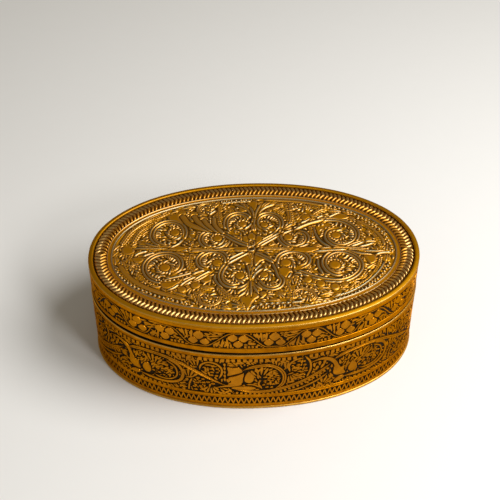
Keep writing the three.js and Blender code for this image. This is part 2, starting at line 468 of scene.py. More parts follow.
def makeCollar():
    outside, inside, bottom, top = (collar[key] for key in ("outside", "inside", "bottom", "top"))
    mouth = collar["mouth"]
    # Where it stands inside the body and under the lid it is darkened with dirt and painted shade
    profile = [
        (inside, bottom + 0.2, 0.5), (inside - 0.2, bottom, 0.8), (outside + 0.05, bottom, 0.9),
        (outside, bottom + 0.1, 0.9), (outside, mouth - 0.1, 0.8), (outside, mouth + 0.4, 0.7),
        (outside, mouth + 1.5, 0.25), (outside, top - 0.6, 0.1), (outside + 0.08, top - 0.25, 0.0),
        (outside + 0.3, top - 0.03, 0.0), (inside - 0.3, top - 0.03, 0.0), (inside - 0.08, top - 0.25, 0.0),
        (inside, top - 0.6, 0.05), (inside, 36, 0.1), (inside, 31, 0.2),
    ]
    return ringPiece("innerCollar", profile)


# Lid wall and rim

lidSide = {"outside": 0.3, "inside": 1.3, "deep": 0.72, "bottom": 37.3, "top": 51.7}


def makeLidWall():
    # From the inner lower corner up the outside: a margin, the flowers' bed and the upper margin
    outside, inside, deep = lidSide["outside"], lidSide["inside"], lidSide["deep"]
    bottom, top = lidSide["bottom"], lidSide["top"]
    # Its lower edge at the seam and its inner face are darkened with dirt and painted shade
    profile = [
        (inside, bottom + 0.1, 0.9), (inside - 0.1, bottom, 1.0), (outside + 0.3, bottom, 1.0),
        (outside + 0.06, bottom + 0.1, 1.0), (outside, 37.55, 0.9), (outside, 37.75, 0.0),
        (outside, 39.5, 0.0), (outside + 0.1, 39.62, 0.3), (deep, 39.74, 1.0), (deep + 0.04, 44.7, 1.0),
        (deep, 49.66, 1.0), (outside + 0.1, 49.76, 0.3), (outside, 49.9, 0.0), (outside, 51.55, 0.1),
        (outside + 0.08, top, 0.5), (inside, top, 0.6), (inside, 45, 0.1), (inside, 39, 0.1),
    ]
    away = np.abs((evenArc - seam["widestArc"] + perimeter / 2) % perimeter - perimeter / 2)
    drop = seam["lidDrop"] * (1 - np.exp(-(away / seam["reach"]) ** 2))
    return ringPiece("lidWall", profile, seamShift(profile, drop, seam["lidFrom"], -1))


rim = {
    "outside": 0.3, "inside": 2.5, "low": 51.7, "top": 53.2, "faceTop": 52.4,
    "tight": 0.26, "shoulder": 52.64,                 # the shoulder's radius and the height of its middle
    "polishAndHighlight": ((6, 0.0), (22, 0.3), (38, 0.7), (54, 0.7), (70, 0.2)),    # over the shoulder, by degrees
}


def makeLidRim():
    # An upright face, a tight shoulder, polished and with a painted highlight, and a low dome that falls to
    # the groove
    outside, inside, low, top, tight = (rim[key] for key in ("outside", "inside", "low", "top", "tight"))
    # Its underside is darkened with dirt and painted shade
    profile = [(inside, low, 1.0), (outside + 0.12, low, 0.7), (outside, low + 0.12, 0.2),
               (outside, rim["faceTop"], 0.0)]
    for degrees, polishAndHighlight in rim["polishAndHighlight"]:
        angle = math.radians(degrees)
        height = rim["shoulder"] + tight * math.sin(angle)
        profile.append((outside + tight * (1 - math.cos(angle)), height, -polishAndHighlight))
    profile += [(outside + 0.5, 52.97, 0.0), (outside + 0.9, 53.09, 0.0), (outside + 1.3, top - 0.02, 0.0),
                (outside + 1.6, top, 0.0), (outside + 1.88, top - 0.1, 0.0), (inside - 0.12, 52.9, 0.1),
                (inside - 0.02, 52.6, 0.4), (inside, 52.2, 0.9)]
    return ringPiece("lidRim", profile)


finishPiece(makeFloorPlate(), "box", "inner_brass", "floor_plate")
finishPiece(makeBodyWall(), "box", "chased_brass", "body_wall")
finishPiece(makeCollar(), "box", "inner_brass", "inner_collar")
finishPiece(makeLidWall(), "lid", "chased_brass", "lid_wall")
finishPiece(makeLidRim(), "lid", "rim_brass", "lid_rim")
print("walls, collar and rim made")


# Lid top: border ring, gadroons, and the relief inside them

plate = {
    "level": 52.1, "under": 51.0, "grooveFloor": 51.7, "edge": 1.6,
    "gadroonStart": 3.0, "gadroonEnd": 8.6, "bed": 0.18,
    "lineStart": 10.2, "lineWidth": 0.9, "lineHeight": 0.45, "lineSteps": 6, "fieldEdge": 11.1,
}
gadroonMiddle = (plate["gadroonStart"] + plate["gadroonEnd"]) / 2


def makeLidBorder():
    # From the outer edge inwards: the groove, the gadroons' bed, a fine line, the channel, a raised line
    level, under, floor = plate["level"], plate["under"], plate["grooveFloor"]
    start, end, mid = plate["gadroonStart"], plate["gadroonEnd"], gadroonMiddle
    line, width, field = plate["lineStart"], plate["lineWidth"], plate["fieldEdge"]
    # The groove, bed and channel are darkened with dirt and painted shade; the fine line and the raised line
    # are polished crests with a painted highlight
    profile = [
        (plate["edge"], under, 0.2), (plate["edge"], floor, 1.0), (start - 0.4, floor, 1.0),
        (start, floor + 0.05, 1.0), (start + 0.08, level - 0.1, 0.8), (start + 0.4, level + 0.1, 0.55),
        (mid, level + plate["bed"], 0.65), (end - 0.9, level, 0.8), (end - 0.1, level - 0.1, 1.0),
        (end + 0.03, level + 0.14, -0.4), (end + 0.18, level + 0.26, -0.9), (end + 0.36, level + 0.14, -0.3),
        (end + 0.5, level - 0.05, 0.4), (end + 0.8, level - 0.05, 0.0), (line - 0.25, level - 0.03, 0.05),
        (line, level - 0.03, 0.5),
    ]
    for share in np.linspace(0.12, 0.88, plate["lineSteps"]):
        profile.append((line + width * share, level + plate["lineHeight"] * math.sin(math.pi * share), -0.8))
    profile += [(line + width, level, 0.8), (field + 0.15, level - 0.25, 1.0), (field + 0.15, under, 0.2),
                (end, under, 0.1), (mid, under + plate["bed"], 0.3), (start, under, 0.1)]
    return ringPiece("lidBorder", profile)


gadroon = {
    "count": 176, "width": 1.96, "lean": 1.25, "height": 1.16, "innerNarrow": 0.45, "outerRise": 0.16,
    "shares": (0, 0.03, 0.08, 0.16, 0.28, 0.4, 0.5, 0.6, 0.72, 0.84, 0.92, 0.97, 1),
    "section": ((-1, 0.0), (-0.8, 0.6), (-0.3, 0.98), (0.3, 0.98), (0.8, 0.6), (1, 0.0)),
    "jitter": 0.05, "darkBelow": 0.7, "clearAbove": 0.2, "seed": 3,
}


def makeChevron(name, lean):
    # One gadroon, from its outer end to its inner one: a ridge bent at its middle, which arches over
    # the ring and narrows inwards. It is polished, with a painted highlight, most at its outer end
    points, crests = [], []
    length = plate["gadroonEnd"] - plate["gadroonStart"] - 0.1
    for share in gadroon["shares"]:
        arm = abs(2 * share - 1)
        arch = max(0.02, 1 - arm ** 5) ** 0.5
        narrow = 1 - gadroon["innerNarrow"] * max(0, share - 0.35) / 0.65
        half = gadroon["width"] / 2 * narrow * min(1, 0.62 + arch)
        height = gadroon["height"] * arch * (1 + gadroon["outerRise"] * (1 - share) ** 2)
        x, y = lean * (arm - 0.5), length * (share - 0.5)
        for across, rise in gadroon["section"]:
            points.append((x + half * across, y, height * rise))
            crests.append(min(1, max(0.3, 1.7 - 2.0 * share)))
    faces = tubeFaces(len(gadroon["shares"]), len(gadroon["section"]))
    return meshPiece(name, points, faces, {"crest": crests})


def store(tree, geometry, name, value):
    inputs = {"Geometry": geometry, "Name": name, "Value": value}
    return out(put(tree, "GeometryNodeStoreNamedAttribute", inputs, data_type="FLOAT", domain="POINT"))


def stored(tree, name, kind="FLOAT"):
    return out(put(tree, "GeometryNodeInputNamedAttribute", {"Name": name}, data_type=kind), "Attribute")


def modelOf(tree, entry, name):
    model = put(tree, "GeometryNodeObjectInfo", {"Object": out(entry, name)}, transform_space="ORIGINAL")
    return out(model, "Geometry")


def turnAboutZ(tree, angle):
    euler = out(put(tree, "ShaderNodeCombineXYZ", {"Z": angle}))
    return out(put(tree, "FunctionNodeEulerToRotation", {"Euler": euler}))


def buildRowTree():
    # Copies of an object along a line, each turned to follow it. The second part of the row has its
    # own object. Low and High are the heights between which the dirt and painted shade clear
    tree, entry, leave = newGroup(
        "rowAlongLine", "GeometryNodeTree",
        [("Geometry", "Geometry"), ("Piece", "Object"), ("Second Piece", "Object"),
         ("Count", "Int", 10), ("Second From", "Int", 5), ("Size Jitter", "Float", 0.05),
         ("Turn Jitter", "Float", 0.04), ("Low", "Float", 0.0), ("High", "Float", 0.001),
         ("Seed", "Int", 1), ("Material", "Material")],
        [("Geometry", "Geometry")])
    curve = put(tree, "GeometryNodeMeshToCurve", {"Mesh": out(entry, "Geometry")})
    spots = put(tree, "GeometryNodeCurveToPoints", {
        "Curve": out(curve), "Count": out(entry, "Count")}, mode="COUNT")
    facing = put(tree, "FunctionNodeAlignRotationToVector", {"Vector": out(spots, "Tangent")},
                 axis="X", pivot_axis="Z")
    isSecond = math2(tree, "GREATER_THAN", out(put(tree, "GeometryNodeInputIndex")),
                     out(entry, "Second From"))
    turnJitter, sizeJitter = out(entry, "Turn Jitter"), out(entry, "Size Jitter")
    spin = put(tree, "FunctionNodeRandomValue", {
        "Min": times(tree, turnJitter, -1.0), "Max": turnJitter, "Seed": out(entry, "Seed")},
        data_type="FLOAT")
    size = put(tree, "FunctionNodeRandomValue", {
        "Min": inverse(tree, sizeJitter), "Max": math2(tree, "ADD", 1.0, sizeJitter),
        "Seed": math2(tree, "ADD", out(entry, "Seed"), 11.0)}, data_type="FLOAT")
    rotation = put(tree, "FunctionNodeRotateRotation", {
        "Rotation": out(facing), "Rotate By": turnAboutZ(tree, out(spin))}, rotation_space="LOCAL")
    both = put(tree, "GeometryNodeJoinGeometry")
    for key, chosen in (("Piece", inverse(tree, isSecond)), ("Second Piece", isSecond)):
        copies = put(tree, "GeometryNodeInstanceOnPoints", {
            "Points": out(spots, "Points"), "Selection": chosen, "Instance": modelOf(tree, entry, key),
            "Rotation": out(rotation), "Scale": out(size)})
        tree.links.new(out(copies), both.inputs["Geometry"])
    real = put(tree, "GeometryNodeRealizeInstances", {"Geometry": out(both)})
    place = out(put(tree, "GeometryNodeInputPosition"))
    height = out(put(tree, "ShaderNodeSeparateXYZ", {"Vector": place}), "Z")
    shade = mapped(tree, height, out(entry, "Low"), out(entry, "High"), 1.0, 0.0)
    # Crests that stand clear get polish with a painted highlight
    polishAndHighlight = math2(tree, "MULTIPLY", inverse(tree, shade), stored(tree, "crest"), True)
    marked = store(tree, store(tree, out(real), "cavity", shade), "crest", polishAndHighlight)
    coated = put(tree, "GeometryNodeSetMaterial", {"Geometry": marked, "Material": out(entry, "Material")})
    tree.links.new(out(coated), leave.inputs["Geometry"])
    return tree


def lineObject(name, points):
    # A bare closed line of edges, for a tree to follow
    count = len(points)
    mesh = bpy.data.meshes.new(name)
    mesh.from_pydata((np.asarray(points) * mm).tolist(), [(k, (k + 1) % count) for k in range(count)], [])
    return addObject(name, mesh)


def makeGadroons():
    # The copies point one way along the back of the box and the other way along its front
    height, count = plate["level"], gadroon["count"]
    row = lineObject("gadroonRing", np.column_stack([ovalXY(evenTurns, gadroonMiddle),
                                                     np.full(oval["steps"], height)]))
    back, front = makeChevron("backChevron", gadroon["lean"]), makeChevron("frontChevron", -gadroon["lean"])
    addTree(row, buildRowTree(), {
        "Piece": back, "Second Piece": front, "Count": count, "Second From": count // 2 - 1,
        "Size Jitter": gadroon["jitter"], "Turn Jitter": gadroon["jitter"],
        "Low": (height - gadroon["darkBelow"]) * mm, "High": (height + gadroon["clearAbove"]) * mm,
        "Seed": gadroon["seed"], "Material": brass["gadroon_brass"]})
    settle(row)
    row.data.shade_smooth()
    for chevron in (back, front):
        bpy.data.objects.remove(chevron)
    return row


finishPiece(makeLidBorder(), "lid", "embossed_brass", "lid_top_plate")
finishPiece(makeGadroons(), "lid", "embossed_brass")
print("lid border and gadroons made")

# Lid relief: strokes are pressed into a raster of heights, which then shapes the sheet

relief = {
    "cell": 0.14, "halfX": 65.1, "halfY": 38.1, "ground": -0.3,
    "inset": 10.95, "crown": 0.4, "gain": 1.35, "columns": 520, "rows": 300, "underShare": 4,
    "edgeFade": 0.012, "edgeDrop": 0.06, "edgeDirtShade": 0.8, "sharpDegrees": 75,
    "under": {"blur": 3, "range": (-0.1, 0.6), "share": 0.8, "fade": 0.03, "dirtAndShade": 0.15},
    "blurs": (1, 4, 14), "dirtAndShade": (0.12, 6.5, 1.2), "polishAndHighlight": 5.0,
}
relief["x"] = np.arange(-relief["halfX"], relief["halfX"], relief["cell"])
relief["y"] = np.arange(-relief["halfY"], relief["halfY"], relief["cell"])
relief["height"] = np.full((relief["y"].size, relief["x"].size), relief["ground"])


def taperAlong(count, taper, thinnest, power=1.0):
    # Shares of the full width along a path, which thins out over a share of its length at each end
    share = np.linspace(0, 1, count)
    thin = np.ones(count)
    for reach, away in zip(taper, (share, 1 - share)):
        if reach:
            thin *= np.clip(away / reach, thinnest, 1) ** power
    return thin


band = {"height": 0.34, "bedDrop": 0.42, "moat": 0.22, "taper": (0.03, 0.12), "railAway": 0.29,
        "railWidth": 0.46}

# Height, moat, taper and flatness of the other strokes
strokes = {
    "finger": {"height": 0.26, "moat": 0.34, "taper": (0.3, 0), "flat": 2.6},
    "rail": {"moat": 0.2, "taper": (0.06, 0.06), "flat": 5},
    "ridge": {"moat": 0.22, "taper": (0.15, 0.2)},
    "dash": {"height": 0.42, "moat": 0.4, "taper": (0.3, 0.3), "flat": 3},
    "plume": {"height": 0.34, "moat": 0.16, "taper": (0.5, 0.25), "flat": 3},
    "ring": {"height": 0.36, "moat": 0.16, "taper": (0, 0)},
    "sprayStem": {"moat": 0.12, "taper": (0, 0.5)},
}
fan = {"leaves": 5, "spread": 1.2, "width": 1.15, "shorten": 0.35, "moat": 0.16}
spray = {"pitch": 1.3, "length": 3.2, "width": 0.95, "height": 0.2, "lean": 0.85, "bend": -0.5, "moat": 0.16,
         "stem": 0.8, "stemHeight": 0.28}


def smoothPath(points, step=0.5):
    # A smooth line through a few points, in even steps
    points = np.array(points, dtype=float)
    ends = np.vstack([2 * points[0] - points[1], points, 2 * points[-1] - points[-2]])
    share = np.linspace(0, 1, 12, endpoint=False)[:, None]
    parts = []
    for a, b, c, d in zip(ends[:-3], ends[1:-2], ends[2:-1], ends[3:]):
        parts.append(0.5 * (2 * b + (c - a) * share + (2 * a - 5 * b + 4 * c - d) * share ** 2
                            + (3 * b - a - 3 * c + d) * share ** 3))
    line = np.vstack(parts + [points[-1:]])
    along = arcLengths(line)
    even = np.linspace(0, along[-1], max(3, int(along[-1] / step) + 1))
    return np.column_stack([np.interp(even, along, line[:, k]) for k in (0, 1)])


def headings(path):
    lines = np.gradient(path, axis=0)
    return np.unwrap(np.arctan2(lines[:, 1], lines[:, 0]))


def beside(path, distance):
    # The same path moved to its left
    heading = headings(path)
    return path + distance * np.column_stack([-np.sin(heading), np.cos(heading)])


def tileAround(low, high, reach):
    # The part of the raster near a stroke: its rows and columns
    cell, xs, ys = relief["cell"], relief["x"], relief["y"]
    columns = [max(0, int((low[0] - reach - xs[0]) / cell)), max(0,
                                                                 int((high[0] + reach - xs[0]) / cell) + 2)]
    rows = [max(0, int((low[1] - reach - ys[0]) / cell)), max(0, int((high[1] + reach - ys[0]) / cell) + 2)]
    return slice(*rows), slice(*columns)


def pressSegments(path, widths, heights, moat=0.0, flat=2):
    # One pass along a path. With a moat it only sinks the ground, and without one it raises the
    # ridge; a higher flat number gives it a flatter top and steeper sides
    ground = relief["ground"]
    for k, (a, b) in enumerate(zip(path[:-1], path[1:])):
        wideA, wideB, highA, highB = *widths[k:k + 2], *heights[k:k + 2]
        rows, columns = tileAround(np.minimum(a, b), np.maximum(a, b), max(wideA, wideB) + moat)
        tile = relief["height"][rows, columns]
        if tile.size == 0:
            continue
        dx, dy = b - a
        px = relief["x"][columns][None, :] - a[0]
        py = relief["y"][rows][:, None] - a[1]
        along = np.clip((px * dx + py * dy) / max(dx * dx + dy * dy, 1e-9), 0, 1)
        away = np.hypot(px - along * dx, py - along * dy)
        width = np.maximum(wideA + (wideB - wideA) * along, 1e-3)
        if moat:
            tile[away < width + moat] = ground
            continue
        share = away / width
        rise = (highA + (highB - highA) * along - ground) * np.sqrt(np.clip(1 - share ** flat, 0, 1))
        np.maximum(tile, np.where(share < 1, ground + rise, ground), out=tile)


def press(path, width, height, moat=0.25, taper=(0.2, 0.2), flat=2):
    # A raised ridge along a path
    thin = taperAlong(len(path), taper, 0.08, 0.6)
    widths = width / 2 * thin
    heights = relief["ground"] + (height - relief["ground"]) * thin ** 0.5
    if moat:
        pressSegments(path, widths, heights, moat)
    pressSegments(path, widths, heights, 0.0, flat)


def pressBand(points, width):
    # A stem: two rails on a lower bed, so that a sunk line is left between them
    path = smoothPath(points)
    press(path, width, band["height"] - band["bedDrop"], band["moat"], band["taper"])
    for side in (1, -1):
        rail = beside(path, side * width * band["railAway"])
        press(rail, width * band["railWidth"], band["height"], 0.0, band["taper"])


def pressLeaf(base, angle, length, width, height, bend=0.0, moat=0.12, flat=2.1):
    # A curved leaf from its base; the bend is how far its tip has turned, in radians
    steps = 7
    share = np.linspace(0, 1, steps)
    turns = angle + bend * share[:-1]
    pace = length / (steps - 1)
    path = np.column_stack([base[0] + np.concatenate([[0], np.cumsum(pace * np.cos(turns))]),
                            base[1] + np.concatenate([[0], np.cumsum(pace * np.sin(turns))])])
    widths = np.maximum(width / 2 * np.sin(np.pi * (0.12 + 0.8 * share ** 0.85)), 0.05)
    heights = height * np.sin(np.pi * (0.2 + 0.6 * share)) ** 0.5
    if moat:
        pressSegments(path, widths, heights, moat)
    pressSegments(path, widths, heights, 0.0, flat)


def pressFan(base, angle, length, height, curl):
    # Leaves fanned from one point, longest in the middle; the outer ones are pressed first
    middle = (fan["leaves"] - 1) / 2
    for k in sorted(range(fan["leaves"]), key=lambda k: -abs(k - middle)):
        offset = (k - middle) / middle
        reach = length * (1 - fan["shorten"] * abs(offset) ** 1.5)
        pressLeaf(base, angle + fan["spread"] / 2 * offset, reach, fan["width"], height, curl * offset,
                  fan["moat"])


def pressSpray(points):
    # A thin stem with leaves on both sides, like a feather
    path = smoothPath(points, spray["pitch"])
    heading = headings(path)
    for side in (1, -1):
        for k in range(len(path) - 1, -1, -1):
            share = k / (len(path) - 1)
            reach = spray["length"] * (0.55 + 0.45 * math.sin(math.pi * min(1, 0.15 + share)))
            lean = side * spray["lean"] * (1 - 0.45 * share)
            pressLeaf(path[k], heading[k] + lean, reach, spray["width"], spray["height"],
                      spray["bend"] * side,
                      spray["moat"])
    press(smoothPath(points), spray["stem"], spray["stemHeight"], **strokes["sprayStem"])


def pressBoss(centre, radius, height=0.1, moat=0.2):
    # A smooth patch with a nearly flat top and a steep edge
    away = np.hypot(relief["x"][None, :] - centre[0], relief["y"][:, None] - centre[1])
    relief["height"][away < radius + moat] = relief["ground"]
    near = away < radius
    share = away[near] / radius
    top = np.sqrt(1 - share ** 8) * (1 - 0.06 * share ** 2)
    relief["height"][near] = relief["ground"] + (height - relief["ground"]) * top


def pressFlat(outline, height=0.12, moat=0.16):
    # A plain flat patch with a steep edge, inside a closed line through a few points
    ring = smoothPath(list(outline) + [outline[0]], 0.4)
    pressSegments(ring, [0.02] * len(ring), [0] * len(ring), moat)
    rows, columns = tileAround(ring.min(axis=0), ring.max(axis=0), 0.3)
    px, py = relief["x"][columns][None, :], relief["y"][rows][:, None]
    inside = np.zeros((py.size, px.size), bool)
    for (ax, ay), (bx, by) in zip(ring, np.roll(ring, -1, axis=0)):
        if ay != by:
            inside ^= ((ay > py) != (by > py)) & (px < (bx - ax) * (py - ay) / (by - ay) + ax)
    relief["height"][rows, columns][inside] = height


def pressPlume(base, leaves, width):
    # Long leaves from one base to picked tips, each bowed to one side by a share of its length
    for x, y, bow in leaves:
        start, end = np.array(base, dtype=float), np.array((x, y), dtype=float)
        middle = (start + end) / 2 + np.array([start[1] - end[1], end[0] - start[0]]) * bow
        press(smoothPath([start, middle, end]), width, **strokes["plume"])


feather = {
    "pitch": 2.0, "first": 0.8, "last": 0.4, "lean": 48, "length": 1.8, "longest": 2.4, "width": 1.4,
    "height": 0.32, "bend": 0.8, "moat": 0.2, "leastRoom": 0.6,
    "probe": 1.6, "eyeGap": 0.5, "bandGap": 0.9, "nextTurn": 9,
}
eyeLeaf = {"pitch": 1.5, "lean": 0.9, "length": 2.8, "width": 1.2, "height": 0.26, "bend": 0.8, "moat": 0.18}
outerLeaf = {"every": 3, "share": 0.55, "lean": 50, "length": 3.1, "width": 0.95, "height": 0.16, "bend": 0.6,
             "moat": 0.14}


def pressFeathers(path, eye, eyeRadius, side):
    # Short curved leaves that stand on a coil and lean along it, in towards the eye, as long as
    # the room to the eye and to the coil's next turn allows
    heading, along = headings(path), arcLengths(path)
    for mark in np.arange(feather["first"], along[-1] - feather["last"], feather["pitch"])[::-1]:
        spot = np.array([np.interp(mark, along, path[:, k]) for k in (0, 1)])
        angle = np.interp(mark, along, heading)
        inward = angle + side * math.pi / 2
        probe = spot + feather["probe"] * np.array([math.cos(inward), math.sin(inward)])
        room = math.hypot(*(eye - probe)) - eyeRadius - feather["eyeGap"]
        later = along > mark + feather["nextTurn"]
        if later.any():
            room = min(room, np.hypot(*(path[later] - probe).T).min() - feather["bandGap"])
        if room > feather["leastRoom"]:
            uneven = math.sin(mark * 2.7 + eyeRadius * 5)
            length = feather["length"] + min(room, feather["longest"]) * (0.85 + 0.15 * uneven)
            pressLeaf(spot, angle + side * math.radians(feather["lean"] + 11 * uneven), length,
                      feather["width"] + 0.3 * uneven, feather["height"] + 0.06 * uneven,
                      side * (feather["bend"] + 0.3 * uneven), feather["moat"], 2)


def pressScroll(points, first, eye, eyeRadius, width):
    # A scroll: its band runs from the stem's root into the coil, which starts at the point
    # numbered first. Feathers stand inside the coil, shorter ones outside, and a boss in the eye
    eye = np.array(eye, dtype=float)
    path = smoothPath(points)
    coil = path[np.argmin(np.hypot(*(path - np.array(points[first])).T)):]
    heading = headings(coil)
    side = 1 if heading[-1] > heading[0] else -1
    reach = np.hypot(*(coil[:len(coil) * 2 // 3] - eye).T).mean()
    pressSegments(np.array([eye, eye + 0.01]), [reach, reach], [0, 0], 0.4)
    for k in range(0, int(len(coil) * outerLeaf["share"]), outerLeaf["every"]):
        pressLeaf(coil[k], heading[k] - side * math.radians(outerLeaf["lean"]), outerLeaf["length"],
                  outerLeaf["width"], outerLeaf["height"], -side * outerLeaf["bend"], outerLeaf["moat"])
    pressFeathers(coil, eye, eyeRadius, side)
    for turn in np.arange(0, tau, eyeLeaf["pitch"] / (eyeRadius + 0.6)):
        spot = eye + (eyeRadius + 0.1) * np.array([math.cos(turn), math.sin(turn)])
        uneven = math.sin(turn * 5 + eye[0])
        pressLeaf(spot, turn + side * eyeLeaf["lean"], eyeLeaf["length"] + 0.6 * uneven,
                  eyeLeaf["width"] + 0.25 * uneven, eyeLeaf["height"], side * eyeLeaf["bend"],
                  eyeLeaf["moat"], 2)
    pressBand(points, width)
    pressBoss(eye, eyeRadius)


def softened(field, radius):
    # A box blur done twice, by running sums
    for axis in (0, 1, 0, 1):
        pad = [(0, 0), (0, 0)]
        pad[axis] = (radius + 1, radius)
        sums = np.cumsum(np.pad(field, pad, mode="edge"), axis=axis)
        size = 2 * radius + 1
        if axis == 0:
            field = (sums[size:] - sums[:-size]) / size
        else:
            field = (sums[:, size:] - sums[:, :-size]) / size
    return field


def fieldLevel(x, y, reach):
    # How far out a place in the field is: 0 in the middle, and 1 on an ellipse of that reach
    return math.hypot(x / reach[0], y / reach[1])


def leafDrift(x, y):
    # The way small leaves grow: out from the middle, and along the border near it
    outward = math.atan2(y / 0.6, x)
    border = math.atan2(y * 3.0, x) + math.pi / 2 * (1 if x * y > 0 else -1)
    share = min(1, max(0, (fieldLevel(x, y, foliage["edge"]) - 0.62) / 0.2))
    ax, ay, bx, by = math.cos(outward), math.sin(outward), math.cos(border), math.sin(border)
    if ax * bx + ay * by < 0:
        bx, by = -bx, -by
    return math.atan2(ay + (by - ay) * share, ax + (bx - ax) * share)


foliage = {
    "seed": 7, "edge": (63.9, 36.9), "scrollWidth": 2.7, "smallScrollWidth": 1.4,
    "fanTries": 9000, "fanField": (63, 36), "fanSpacing": 3.7, "fanTurn": 0.3, "fanLengths": (5.0, 6.6),
    "fanHeights": (0.12, 0.26), "fanCurls": (-0.4, 0.6), "fanBack": 1.4,
    "strokeTries": 14000, "strokeField": (63.6, 36.6), "strokeTurn": 0.5, "strokeLengths": (1.6, 2.6),
    "strokeBends": (-0.7, 0.7), "strokeReach": 1.4, "strokeWidth": 0.8, "strokeHeight": 0.1,
    # Stems of feathery sprays
    "sprays": (
        ((51, 19), (54.5, 14), (56.5, 8), (57.5, 2)), ((-60, 7), (-56, 15), (-49, 22), (-40, 27.5)),
        ((-55, 8), (-52, 15), (-46, 21)), ((-60, -4), (-57.5, -12), (-52, -19), (-44, -24)),
        ((-54, -3), (-53, -10), (-49, -17)), ((43, -25), (50, -20), (54.5, -13), (56.5, -7)),
        ((-13.5, 15), (-15, 21), (-15.5, 27), (-14, 33)), ((-20, 25), (-21.5, 29), (-21, 34)),
        ((16.5, 17), (18, 22), (17.5, 28), (15.5, 34)), ((29, 24.5), (33, 27.5), (38, 28)),
        ((13, -18), (13.5, -22), (15, -26), (16, -32)), ((17, -16), (18.5, -21), (17.5, -26)),
        ((-17, -22), (-14, -26), (-9, -31)), ((-27, -25), (-25, -30), (-20, -34)),
        ((27, 8), (27.5, 12), (26.5, 15)), ((-28.5, 5), (-29, 9), (-28, 13)),
        ((27, -5), (26.8, -10), (24.8, -13.5)), ((-29, -2), (-29.5, -7), (-28, -11)),
        ((5, 2.4), (9, 4), (11, 7.5)), ((-6.5, -6), (-5.5, -9), (-5, -12.5)),
        ((3, -5.5), (5.5, -8), (7, -11)), ((-4.5, 8), (-7, 10), (-9, 12)), ((4.5, 8), (4.5, 10), (6.5, 11)),
    ),
    # Base, width, and for each leaf its tip and how far it bows to one side
    "plumes": (
        ((1.0, 21), 1.5, ((-8.5, 33.5, -0.16), (12, 33, 0.15), (-6, 35, -0.12), (9.8, 34.5, 0.12),
         (-3.5, 34, -0.1), (7.6, 34.5, 0.1), (-1.2, 32, -0.06), (5.4, 34, 0.06))),
        ((-2.2, -18), 1.5, ((-9, -23.5, 0.14), (-8.8, -26, 0.14), (-9, -29.3, 0.14), (-5, -28.5, 0.08),
         (2.5, -24.5, -0.12), (1, -27, -0.08), (-2.6, -29, 0))),
        ((-38, 3.4), 1.5, ((-51, 8.4, 0.08), (-53.5, 6.2, 0.05), (-50.5, 1.3, -0.04), (-54.3, -1.4, -0.12),
         (-55, 4.2, 0.02))),
        ((40, 0.6), 1.5, ((50.5, 4.2, 0.06), (56.5, 4.8, 0.09), (52, -1.2, -0.03), (62, -2.4, -0.03),
         (54, -4.3, -0.08))),
        ((-18.5, -11.5), 1.5, ((-37, -23, 0.03), (-33.8, -21.2, 0.05), (-28.5, -19, 0.06),
         (-38.5, -15.8, 0.04))),
        ((14, 14.5), 1.3, ((16.5, 20, -0.1), (19, 18.5, -0.05))),
    ),
}

